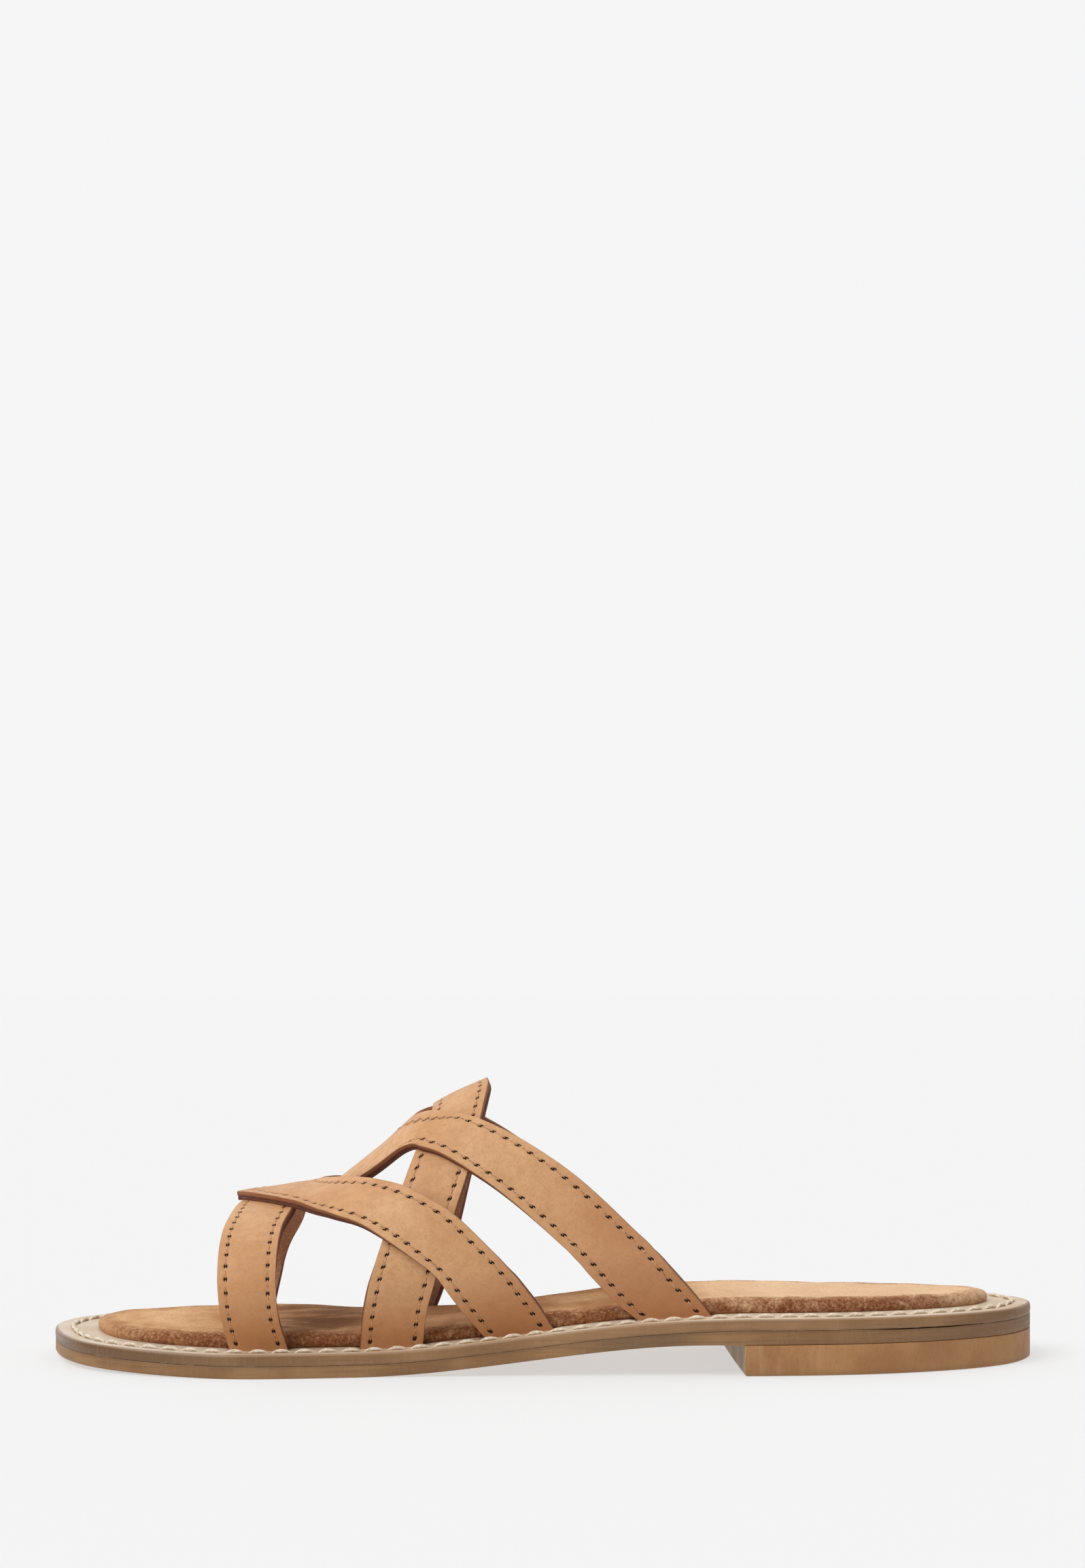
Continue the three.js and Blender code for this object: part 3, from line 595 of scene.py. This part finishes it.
def suede_material():
    g = Graph("footbed_suede")
    edge = g.value("edge")
    nap = g.noise(0.9, detail=3.0, roughness=0.75)
    tuft = g.noise(1.3, detail=2.0, roughness=0.6, warp=0.6)
    worn = g.noise(12.0, detail=2.0, stretch=(1.1, 2.0, 1.0), warp=0.3)
    patch = g.noise(5.0, detail=3.0, roughness=0.65, stretch=(1.0, 1.7, 1.0), warp=0.3)
    top = g.mix(g.rise(worn, 0.3, 0.7), tone("C98F5C"), tone("F2C493"))
    top = g.tint(top, tone("B98457"), g.rise(patch, 0.45, 0.75), 0.35)
    x = g.axis("X")
    # Partly painted shadow of the straps on the pad, partly darker nap: a spotty darker band across the
    # pad under the straps
    strap_shadow_and_dark_nap = g.rise(g.sum("ABSOLUTE", g.sum("ADD", x, 64.0)), 24.0, 8.0)
    spots = g.noise(9.0, detail=3.0, roughness=0.6, stretch=(1.6, 1.0, 1.0), warp=0.4)
    strap_shadow_and_dark_nap = g.sum("MULTIPLY", strap_shadow_and_dark_nap, g.rise(spots, 0.62, 0.40, 0.3, 0.85))
    top = g.mix(strap_shadow_and_dark_nap, top, tone("7E5438"))
    top = g.tint(top, tone("F9D5AE"), g.rise(x, 25.0, 60.0), 0.75)
    side = g.mix(g.rise(tuft, 0.3, 0.7), tone("9A6240"), tone("BE865E"))
    side = g.tint(side, tone("7C4628"), g.rise(edge, 0.9, 1.0), 0.55)
    frayed = g.sum("MULTIPLY", g.sum("SUBTRACT", patch, 0.5), 1.6)
    tufted = g.sum("MULTIPLY", g.sum("SUBTRACT", tuft, 0.5), 0.7)
    ragged = g.sum("ADD", frayed, tufted)
    turned = g.sum("ADD", edge, ragged)
    turned = g.sum("MULTIPLY", g.rise(turned, 0.25, 1.15), g.rise(edge, 0.0, 0.12))
    ends = g.rise(g.sum("ABSOLUTE", g.axis("X")), 92.0, 122.0)
    turned = g.sum("MULTIPLY", turned, g.sum("SUBTRACT", 1.0, g.sum("MULTIPLY", ends, 0.6)))
    colour = g.mix(turned, top, side)
    speckle = g.sum("MULTIPLY", g.rise(nap, 0.45, 0.65), g.rise(turned, 0.0, 1.0, 0.2, 0.8))
    colour = g.mix(speckle, colour, tone("6B3C22"))
    glint = g.sum("MULTIPLY", g.rise(nap, 0.46, 0.3), g.rise(turned, 0.0, 1.0, 0.25, 0.55))
    colour = g.mix(glint, colour, tone("DDB088"))
    g.set("Base Color", colour)
    g.set("Roughness", 0.95)
    g.shader.inputs["Specular IOR Level"].default_value = 0.15
    g.shader.inputs["Sheen Weight"].default_value = 0.25
    g.shader.inputs["Sheen Roughness"].default_value = 0.4
    g.shader.inputs["Sheen Tint"].default_value = tone("E0B58C")
    g.bump(g.sum("ADD", nap, g.sum("MULTIPLY", tuft, 0.5)), 0.35)
    return g.material


def midsole_material():
    g = Graph("welt_leather")
    top = g.value("top")
    up = g.value("up")
    x = g.axis("X")
    cloud = g.noise(22.0, detail=3.0)
    fine = g.noise(1.1, detail=3.0, roughness=0.65)
    smear = g.noise(4.0, detail=3.0, roughness=0.6, stretch=(8.0, 8.0, 0.3))
    hatch = g.noise(0.7, detail=2.0, roughness=0.6, stretch=(1.0, 1.0, 4.0))
    top_colour = g.mix(g.rise(cloud, 0.35, 0.65), tone("CFB597"), tone("E0CCB4"))
    top_colour = g.tint(top_colour, tone("B4977A"), g.rise(fine, 0.5, 0.75), 0.3)
    side = g.mix(g.rise(cloud, 0.35, 0.65), tone("8C6741"), tone("A07850"))
    toe = g.rise(x, -40.0, -118.0)
    side = g.tint(side, tone("66482A"), toe, 0.85)
    heel = g.rise(x, 84.0, 124.0)
    side = g.tint(side, tone("825E3C"), heel, 0.6)
    side = g.tint(side, tone("75563A"), g.rise(smear, 0.45, 0.7), 0.35)
    side = g.tint(side, tone("B99C78"), g.rise(hatch, 0.5, 0.75), 0.12)
    side = g.tint(side, tone("6A4E33"), g.rise(up, 0.3, 0.0), 0.4)
    side = g.tint(side, tone("BFA185"), g.rise(up, 0.8, 1.0), 0.6)
    drips = g.noise(1.6, detail=2.0, stretch=(2.0, 2.0, 0.4))
    glue = g.sum("MULTIPLY", g.rise(drips, 0.56, 0.66), g.rise(up, 0.2, 0.05))
    side = g.tint(side, tone("CDB594"), glue, 0.6)
    g.set("Base Color", g.mix(top, side, top_colour))
    shine = g.sum("MULTIPLY", toe, 0.14)
    g.set("Roughness", g.sum("SUBTRACT", g.rise(smear, 0.3, 0.7, 0.42, 0.6), shine))
    g.bump(g.sum("ADD", fine, g.sum("MULTIPLY", g.sum("ADD", smear, hatch), 0.6)), 0.10)
    return g.material


def outsole_material():
    g = Graph("outsole_leather")
    up = g.value("up")
    x = g.axis("X")
    cloud = g.noise(18.0, detail=3.0)
    hatch = g.noise(0.7, detail=3.0, roughness=0.65, stretch=(1.0, 1.0, 4.0))
    smear = g.noise(3.5, detail=3.0, roughness=0.6, stretch=(7.0, 7.0, 0.3))
    side = g.mix(g.rise(cloud, 0.35, 0.65), tone("8C653D"), tone("A0784D"))
    side = g.tint(side, tone("785638"), g.rise(x, 60.0, 120.0), 0.7)
    side = g.tint(side, tone("704F31"), g.rise(smear, 0.45, 0.7), 0.35)
    side = g.tint(side, tone("BC9C74"), g.rise(hatch, 0.5, 0.75), 0.14)
    side = g.tint(side, tone("64482D"), g.rise(up, 0.8, 1.0), 0.25)
    waist = g.rise(g.sum("ABSOLUTE", g.sum("SUBTRACT", x, 27.0)), 20.0, 6.0)
    side = g.tint(side, tone("54432F"), waist, 0.45)
    sole = g.mix(g.rise(cloud, 0.35, 0.65), tone("A5855E"), tone("B89870"))
    g.set("Base Color", g.mix(g.value("tread"), side, sole))
    g.set("Roughness", g.rise(smear, 0.3, 0.7, 0.45, 0.62))
    g.bump(g.sum("ADD", hatch, smear), 0.10)
    return g.material


def heel_material():
    g = Graph("heel_leather")
    breast = g.value("breast")
    x = g.axis("X")
    cloud = g.noise(14.0, detail=3.0)
    hatch = g.noise(0.8, detail=3.0, roughness=0.7, stretch=(1.0, 1.0, 2.0))
    scrape = g.noise(3.2, detail=3.0, roughness=0.7, stretch=(0.8, 0.8, 3.0))
    side = g.mix(g.rise(cloud, 0.35, 0.65), tone("A57245"), tone("B48352"))
    side = g.tint(side, tone("8A6138"), g.rise(hatch, 0.5, 0.75), 0.35)
    near_breast = g.sum("MULTIPLY", g.rise(scrape, 0.45, 0.65), g.rise(x, 92.0, 54.0))
    side = g.tint(side, tone("C4A276"), near_breast, 0.3)
    side = g.tint(side, tone("8D6B46"), g.rise(g.axis("Z"), 2.0, 0.2), 0.4)
    side = g.mix(breast, side, g.mix(g.rise(cloud, 0.4, 0.6), tone("9C876A"), tone("AE987A")))
    g.set("Base Color", side)
    g.set("Roughness", g.rise(scrape, 0.3, 0.7, 0.5, 0.68))
    g.bump(g.sum("ADD", hatch, scrape), 0.12)
    return g.material


def glowing_material(name, colour, glow, albedo):
    """Pale studio paper lit from within, so that shadows on it stay light."""
    g = Graph(name)
    g.set("Base Color", tuple(albedo * part for part in colour[:3]) + (1.0,))
    g.set("Roughness", 1.0)
    g.shader.inputs["Specular IOR Level"].default_value = 0.0
    g.set("Emission Color", colour)
    g.set("Emission Strength", glow)
    return g.material


# Straps

class Strap:
    """One strap: its table as curves, and rows spaced evenly along its middle."""

    def __init__(self, rows):
        outer = [row for row in rows if row[0] <= 0]
        inner = [row for row in rows if row[0] >= 0]
        self.curves = [(column(outer, k), column(inner, k)) for k in range(1, len(rows[0]))]
        dense = np.linspace(-1.0, 1.0, 4001)
        middle = self.surface(dense, 0.5, STRAP_WALL)
        steps = np.linalg.norm(np.diff(middle, axis=0), axis=1)
        self.lengths = np.concatenate([[0.0], np.cumsum(steps)])
        self.dense = dense
        self.length = self.lengths[-1]

    def at(self, index, fold):
        outer, inner = self.curves[index]
        return np.where(fold < 0, outer(fold), inner(fold))

    def fold(self, along):
        return np.interp(along, self.lengths, self.dense)

    def surface(self, fold, share, height):
        """The point at a share of the way from the front edge, height above the inner face."""
        fold, share, height = np.broadcast_arrays(fold, share, height)
        x = lerp(self.at(0, fold), self.at(1, fold), share) * SHOE_LENGTH
        lift = 0.0
        if len(self.curves) > 2:
            lift = lerp(self.at(2, fold), self.at(3, fold), np.clip(share, 0.0, 1.0))
            lift = lift * (STRAP_WALL - WELD_DEPTH)
        return last_point(x, fold) + last_normal(x, fold) * (lift + height)[..., None]


def strap_profile():
    """The wall's section: across and height in millimetres, and what face each point is on."""
    edge = [(0.06, 0.10), (0.0, 0.32), (0.0, 0.80), (0.08, 0.98), (0.14, 1.08), (0.08, 1.18),
            (0.0, 1.38), (0.0, 2.20), (0.03, 2.34)]
    half = [0.12, 0.30, 0.8, 1.2, 1.6, 1.9, 2.15, 2.4, 2.65, 2.9, 3.25, 3.9, 5.0, 6.4, STRAP_WIDTH / 2]
    face = half + [STRAP_WIDTH - a for a in half[-2::-1]]
    below = [0.25, 1.6, 4.5, STRAP_WIDTH / 2]
    inside = below + [STRAP_WIDTH - a for a in below[-2::-1]]
    points = [(a, h, 0, 0) for a, h in edge]
    points += [(a, STRAP_WALL, 1, 0) for a in face]
    points += [(STRAP_WIDTH - a, h, 0, 0) for a, h in edge[::-1]]
    points += [(a, 0.0, 0, 1) for a in inside[::-1]]
    return np.array(points)


def build_strap(name, strap, material):
    profile = strap_profile()
    across, wall, face, lining = profile.T
    count = round(strap.length / STRAP_PITCH * ROWS_PER_STITCH)
    along = np.linspace(0.0, strap.length, count + 1)
    fold = strap.fold(along)
    fold[np.argmin(np.abs(fold))] = 0.0
    from_edge = np.minimum(across, STRAP_WIDTH - across)
    pillow = STRAP_PILLOW * smoothstep(SEAM_INSET, STRAP_WIDTH / 2, from_edge)
    furrow = -FURROW_DEPTH * np.exp(-((from_edge - SEAM_INSET) / FURROW_WIDTH) ** 2)
    to_hole = (np.mod(along / STRAP_PITCH, 1.0) - 0.5) * STRAP_PITCH
    along_hole = (to_hole / HOLE_REACH_ALONG) ** 2
    across_hole = ((from_edge - SEAM_INSET) / HOLE_REACH_ACROSS) ** 2
    pit = np.exp(-(along_hole[:, None] + across_hole[None, :]))
    relief = face * (pillow + furrow)[None, :] - HOLE_DEPTH * face * pit
    rows = strap.surface(fold[:, None], across[None, :] / STRAP_WIDTH, wall[None, :] + relief)
    tail_steps = np.array([1.0, 0.5, 0.15])
    tails = []
    for row in (rows[0], rows[-1]):
        floor = parting_height(row[:, 0]) + SEAM
        sunk = [np.column_stack([row[:, :2], lerp(row[:, 2], floor, t)]) for t in tail_steps]
        tails.append(np.stack(sunk))
    grid = np.concatenate([tails[0], rows, tails[1][::-1]])
    tail_along = 0.4 + tail_steps
    along = np.concatenate([-tail_along, along, strap.length + tail_along[::-1]])
    size = len(profile)
    faces = grid_faces(len(grid), size, wrap=True)
    faces += [list(range(size)), list(range((len(grid) - 1) * size, len(grid) * size))[::-1]]
    values = {
        "along": np.repeat(along, size),
        "across": np.tile(across, len(grid)),
        "wall": np.tile(wall, len(grid)),
        "face": np.tile(face, len(grid)),
        "lining": np.tile(lining, len(grid)),
    }
    return add_piece(name, grid, faces, material, values)


def tube(path, radius, sides, twist=0.0, lobes=0.0, flatten=1.0, up=None):
    """A closed tube along a path, with radius per point; lobes and twist give it plies."""
    tangent = np.gradient(path, axis=0)
    tangent = tangent / np.linalg.norm(tangent, axis=1)[:, None]
    up = np.array([0.0, 0.0, 1.0]) if up is None else up
    side = np.cross(tangent, np.broadcast_to(up, tangent.shape))
    side = side / np.maximum(np.linalg.norm(side, axis=1), 1e-9)[:, None]
    top = np.cross(side, tangent)
    angle = np.arange(sides) / sides * 2.0 * math.pi
    turn = np.linspace(0.0, twist, len(path))[:, None]
    swell = 1.0 + lobes * np.cos(2.0 * (angle[None, :] - turn))
    reach = np.asarray(radius)[:, None] * swell
    rings = path[:, None, :] + side[:, None, :] * (reach * np.cos(angle))[..., None]
    rings = rings + top[:, None, :] * (reach * np.sin(angle) * flatten)[..., None]
    faces = grid_faces(len(path), sides, wrap=True)
    faces += [list(range(sides))[::-1], [(len(path) - 1) * sides + k for k in range(sides)]]
    return rings.reshape(-1, 3), faces


class Bundle:
    """Many small bodies collected into one mesh."""

    def __init__(self):
        self.points = []
        self.faces = []
        self.count = 0

    def add(self, points, faces):
        self.faces += [[index + self.count for index in face] for face in faces]
        self.points.append(points)
        self.count += len(points)

    def piece(self, name, material, slot):
        return add_piece(name, np.concatenate(self.points), self.faces, material)


def strap_threads(straps, material):
    """A thread between each two holes, its ends down in them."""
    bundle = Bundle()
    t = np.linspace(0.07, 0.93, 9)
    for strap in straps:
        holes = int(strap.length / STRAP_PITCH)
        for share in (SEAM_INSET / STRAP_WIDTH, 1.0 - SEAM_INSET / STRAP_WIDTH):
            for k in range(holes - 1):
                along = (k + 0.5 + t) * STRAP_PITCH
                dip = -THREAD_END_DIP * (1.0 - np.sin(np.pi * t) ** 0.35)
                fold = strap.fold(along)
                path = strap.surface(fold, share, STRAP_WALL - THREAD_SINK + dip)
                normal = last_normal(path[:, 0], fold)
                bundle.add(*tube(path, np.full(len(t), STRAP_THREAD_RADIUS), 6, up=normal))
    return bundle.piece("strap_thread", material, "strap_leather")


# Sole

def even_shares(count):
    """A sheet's columns, count of them evenly between the rims."""
    marks = np.linspace(0.0, 1.0, count + 2)[1:-1]
    return lambda near, far: [np.full_like(near, mark) for mark in marks]


def sheet_shares(near, far, depth=15.0, step=0.75):
    """Columns of a top sheet, close together near both rims and few in the middle."""
    width = np.maximum(far - near, 1e-6)
    reach = np.minimum(1.0, width / (2.0 * depth + 1.0))
    marks = np.arange(1, int(depth / step) + 1) * step
    low = [reach * mark / width for mark in marks]
    middle = [np.full_like(width, 0.5)]
    return low + middle + [1.0 - share for share in low[::-1]]


def rim_distance(x, y):
    """How far a point of the top lies inside the rim, measured to the nearest rim point."""
    flat = np.column_stack([np.ravel(x), np.ravel(y)])
    nearest = np.full(len(flat), 1e9)
    for start in range(0, len(RIM), 96):
        part = RIM[start:start + 96]
        gap = np.hypot(flat[:, :1] - part[:, 0], flat[:, 1:] - part[:, 1])
        nearest = np.minimum(nearest, gap.min(axis=1))
    return nearest.reshape(np.shape(x))


def root_dent(x, y, straps):
    """How deep the welt dips round the strap roots, 0 to 1."""
    depth = np.zeros(np.shape(x))
    for strap in straps:
        for fold in (-1.0, 1.0):
            front = float(strap.at(0, fold)) * SHOE_LENGTH
            rear = float(strap.at(1, fold)) * SHOE_LENGTH
            root = ROOT.near(x) if fold < 0 else ROOT.far(x)
            outer = root + fold * STRAP_WALL
            low, high = np.minimum(root, outer), np.maximum(root, outer)
            gap_x = np.maximum(np.maximum(front - x, x - rear), 0.0)
            gap_y = np.maximum(np.maximum(low - y, y - high), 0.0)
            depth = np.maximum(depth, 1.0 - smoothstep(0.0, ROOT_DENT_REACH, np.hypot(gap_x, gap_y)))
    return depth


def build_midsole(straps, material):
    def level(height):
        return lambda x, y: parting_height(x) + height

    def top(x, y):
        inward = rim_distance(x, y)
        groove = WELT_GROOVE_DEPTH * np.exp(-((inward - WELT_SEAM_INSET) / WELT_GROOVE_WIDTH) ** 2)
        return sole_top(x) - groove - ROOT_DENT_DEPTH * root_dent(x, y, straps)

    rings = [
        (1.2, level(0.3)), (0.12, level(0.3)), (0.02, level(0.38)), (0.0, level(0.8)),
        (-0.08, level(1.5)), (-0.05, level(2.3)), (0.05, level(2.75)), (0.22, level(3.05)),
        (0.5, level(3.22)), (0.9, top),
    ]
    count = 340
    points = layer_points(rings, count, sheet_shares)
    z_low = parting_height(points[..., 0])
    up = (points[..., 2] - z_low) / MIDSOLE_THICKNESS
    columns = points.shape[1]
    top_start = 4 + len(rings) - 1
    top_end = columns - (len(rings) - 2)
    on_top = np.zeros(columns)
    on_top[top_start:top_end] = 1.0
    values = {"up": up, "top": np.tile(on_top, count + 1)}
    faces = grid_faces(count + 1, columns, wrap=True)
    piece = add_piece("midsole_welt", points, faces, material, values, clean=True)
    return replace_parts(piece, "midsole")


def parting(x, y):
    """The outsole's top, close under the midsole but for a gap near the heel."""
    gap = smoothstep(80.0, 92.0, x) * (1.0 - smoothstep(104.0, 116.0, x))
    return parting_height(x) + lerp(0.24, 0.0, gap)


def build_outsole(material):
    def level(share, offset=0.0):
        return lambda x, y: lerp(tread_height(x), parting_height(x), share) + offset

    rings = [
        (1.2, level(0.0)), (0.35, level(0.0, 0.02)), (0.1, level(0.0, 0.12)), (0.0, level(0.0, 0.4)),
        (0.0, level(0.5)), (0.0, level(1.0, -0.2)), (0.0, level(1.0, 0.0)), (0.05, parting),
        (1.6, parting),
    ]
    count = 260
    points = layer_points(rings, count, even_shares(3))
    x = points[..., 0]
    up = (points[..., 2] - tread_height(x)) / (parting_height(x) - tread_height(x))
    columns = points.shape[1]
    tread = np.zeros(columns)
    tread[:5] = 1.0
    values = {"up": up, "tread": np.tile(tread, count + 1)}
    faces = grid_faces(count + 1, columns, wrap=True)
    piece = add_piece("outsole_sheet", points, faces, material, values, clean=True)
    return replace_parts(piece, "outsole")


def build_heel(material):
    near_x = SHOE_LENGTH / 2 - HEEL_LENGTH
    far_x = near_x - HEEL_BREAST_SKEW

    def breast(y):
        share = (y + BALL_WIDTH / 2) / BALL_WIDTH
        bow = 2.0 * share * (1.0 - share) * HEEL_BREAST_BOW
        return lerp(near_x, far_x, share) - bow

    levels = [(0.9, 0.0), (0.45, 0.05), (0.15, 0.22), (0.0, 0.6), (0.0, 2.5), (0.0, 5.0),
              (0.0, 7.4), (0.03, 7.84), (0.3, 7.87)]
    rings = []
    on_breast = []
    for distance, height in levels:
        outline = inset(RIM, distance)
        sides = Sides(outline)
        kept = outline[outline[:, 0] > breast(outline[:, 1]) + distance + 0.05]
        order = np.argsort(np.unwrap(np.arctan2(kept[:, 1], kept[:, 0] - near_x)))
        kept = kept[order]
        arc = np.concatenate([[0.0], np.cumsum(np.linalg.norm(np.diff(kept, axis=0), axis=1))])
        spaced = np.linspace(0.0, arc[-1], 240)
        round_part = np.column_stack([np.interp(spaced, arc, kept[:, k]) for k in range(2)])
        corner_far = np.array([breast(sides.far(near_x)) + distance, sides.far(near_x)])
        corner_near = np.array([breast(sides.near(near_x)) + distance, sides.near(near_x)])
        ys = lerp(corner_far[1], corner_near[1], np.linspace(0.0, 1.0, 40))
        front = np.column_stack([breast(ys) + distance, ys])
        ring = np.concatenate([round_part, front])
        rings.append(np.column_stack([ring, np.full(len(ring), height)]))
        on_breast.append(np.concatenate([np.zeros(len(round_part)), np.ones(len(front))]))
    size = len(rings[0])
    faces = grid_faces(len(rings), size, wrap=True)
    faces += [list(range(size))[::-1], [(len(rings) - 1) * size + k for k in range(size)]]
    values = {"breast": np.concatenate(on_breast)}
    points = np.concatenate(rings)
    piece = add_piece("heel_block", points, faces, material, values)
    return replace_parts(piece, "heel")


def build_footbed(material):
    margin = STRAP_INSET + STRAP_WALL + SEAM
    stretch = 1.0 + 2.0 * FOOTBED_END_REACH / SHOE_LENGTH
    keyed = [(k, share, radius) for k, (share, radius) in enumerate(FOOTBED_EDGE)]
    share_of, radius_of = column(keyed, 1), column(keyed, 2)

    def full(x, y):
        edge = RIM_SIDES.far(x) - margin
        inwards = 1.0 - smoothstep(0.0, ARCH_WIDTH * BALL_WIDTH, edge - y)
        from_arch = np.abs(x / SHOE_LENGTH - ARCH_MIDDLE)
        rise = ARCH_RISE * inwards * (1.0 - smoothstep(0.0, ARCH_REACH, from_arch))
        taper = smoothstep(FOOTBED_TAPER_START, FOOTBED_TAPER_END, np.abs(x) / SHOE_LENGTH)
        return lerp(FOOTBED_THICKNESS, FOOTBED_END_THICKNESS, taper) + rise

    def soft(x, y):
        waves = np.sin(x / 9.0 + 1.3 * np.sin(y / 11.0)) * np.sin(y / 7.5 + 0.8)
        small = np.sin(x / 3.7 + y / 5.1) * np.sin(y / 4.3 - x / 8.9)
        return PAD_WAVE * waves + PAD_RIPPLE * small

    def level(share):
        return lambda x, y: sole_top(x) + 0.05 + share * (full(x, y) + 0.25) + share * soft(x, y)

    marks = np.linspace(0.0, len(FOOTBED_EDGE) - 1.0, 15)
    rings = []
    for mark in marks:
        distance = margin + float(radius_of(mark)) * FOOTBED_EDGE_RADIUS
        rings.append((distance, level(min(1.0, float(share_of(mark))))))
    count = 260
    points = layer_points(rings, count, even_shares(44), stretch)
    columns = points.shape[1]
    inward = rim_distance(points[..., 0], points[..., 1]) - margin
    edge = 1.0 - smoothstep(0.5, 9.0, inward)
    edge[:, :4] = 1.0
    values = {"edge": edge}
    faces = grid_faces(count + 1, columns, wrap=True)
    piece = add_piece("footbed_pad", points, faces, material, values, clean=True)
    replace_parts(piece, "footbed")
    return piece


def welt_stitches(material):
    """The lockstitch all round the welt, each stitch two twisted plies."""
    path = inset(RIM, WELT_SEAM_INSET)
    closed = np.concatenate([path, path[:1]])
    arc = np.concatenate([[0.0], np.cumsum(np.linalg.norm(np.diff(closed, axis=0), axis=1))])
    count = round(arc[-1] / WELT_PITCH)
    pitch = arc[-1] / count
    bundle = Bundle()
    t = np.linspace(0.0, 1.0, 15)
    for k in range(count):
        at = (k + 0.5) * pitch + (t - 0.5) * WELT_STITCH_LENGTH
        x = np.interp(at, arc, closed[:, 0], period=arc[-1])
        y = np.interp(at, arc, closed[:, 1], period=arc[-1])
        arch = np.sin(np.pi * t) ** 0.6
        z = sole_top(x) - WELT_THREAD_SINK + WELT_THREAD_RISE * arch
        radius = WELT_THREAD_WIDTH / 2 * (0.2 + 0.8 * arch)
        flatten = WELT_THREAD_HEIGHT / WELT_THREAD_WIDTH
        line = np.column_stack([x, y, z])
        bundle.add(*tube(line, radius, 14, WELT_THREAD_TWIST, WELT_THREAD_LOBES, flatten))
    return bundle.piece("welt_stitches", material, "welt_leather")


strap_a, strap_b, strap_c, strap_d = (Strap(rows) for rows in (STRAP_A, STRAP_B, STRAP_C, STRAP_D))
all_straps = [strap_a, strap_b, strap_c, strap_d]
strap_leather = strap_material()
first_strap = None
for letter, strap in zip("abcd", all_straps):
    made = build_strap("strap_" + letter, strap, strap_leather)
    first_strap = first_strap or made
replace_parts(first_strap, "upper")
strap_threads(all_straps, thread_material("strap_thread", tone("E0B68C"), tone("A36E46"), 0.5))
build_midsole(all_straps, midsole_material())
build_outsole(outsole_material())
build_heel(heel_material())
build_footbed(suede_material())
welt_stitches(thread_material("welt_thread", tone("F4E9D6"), tone("DAC8AC"), 0.8))


# Studio

def add_sheet(name, corners, material):
    mesh = bpy.data.meshes.new(name)
    mesh.from_pydata(corners, [], [(0, 1, 2, 3)])
    mesh.materials.append(material)
    sheet = bpy.data.objects.new(name, mesh)
    bpy.context.scene.collection.objects.link(sheet)


def add_studio():
    """A pale floor and a pale wall far behind the shoe."""
    reach = 12.0
    back = 6.0
    paper = (1.0, 1.0, 1.0, 1.0)
    floor = [(-reach, -reach, 0.0), (reach, -reach, 0.0), (reach, back, 0.0), (-reach, back, 0.0)]
    wall = [(-reach, back, 0.0), (reach, back, 0.0), (reach, back, reach), (-reach, back, reach)]
    add_sheet("floor", floor, glowing_material("studio_floor", paper, FLOOR_GLOW, FLOOR_ALBEDO))
    add_sheet("wall", wall, glowing_material("studio_wall", paper, WALL_GLOW, 0.0))


def add_sun(name, source, angle, strength):
    """Even light from the direction of source, with a soft edge of angle degrees."""
    data = bpy.data.lights.new(name, "SUN")
    data.angle = math.radians(angle)
    data.energy = strength
    light = bpy.data.objects.new(name, data)
    light.location = source
    light.rotation_euler = (-Vector(source)).to_track_quat("-Z", "Y").to_euler()
    bpy.context.scene.collection.objects.link(light)


def add_world(brightness):
    world = bpy.data.worlds.new("studio")
    world.use_nodes = True
    background = world.node_tree.nodes["Background"]
    background.inputs["Color"].default_value = (1.0, 1.0, 1.0, 1.0)
    background.inputs["Strength"].default_value = brightness
    bpy.context.scene.world = world


def add_camera():
    """The photograph's view: level, from the outer side, with the shoe low in a tall picture."""
    picture_width = 1596
    picture_height = 2306
    focal_pixels = 4400.0
    horizon_below_middle = 241.5
    sensor = 36.0
    data = bpy.data.cameras.new("camera")
    data.sensor_width = sensor
    data.sensor_fit = "AUTO"
    data.lens = focal_pixels / max(picture_width, picture_height) * sensor
    data.shift_y = horizon_below_middle / max(picture_width, picture_height)
    data.clip_start = 0.05
    data.clip_end = 100.0
    camera = bpy.data.objects.new("camera", data)
    camera.location = (0.00009, -0.80263, 0.1091)
    camera.rotation_euler = (math.pi / 2.0, 0.0, 0.0)
    bpy.context.scene.collection.objects.link(camera)
    bpy.context.scene.camera = camera


add_studio()
add_world(0.35)
add_sun("key", (-0.9, -0.8, 1.3), 40.0, 1.65)
add_sun("top", (0.15, 0.6, 1.5), 60.0, 0.8)
add_camera()
bpy.context.scene.view_settings.view_transform = "Standard"
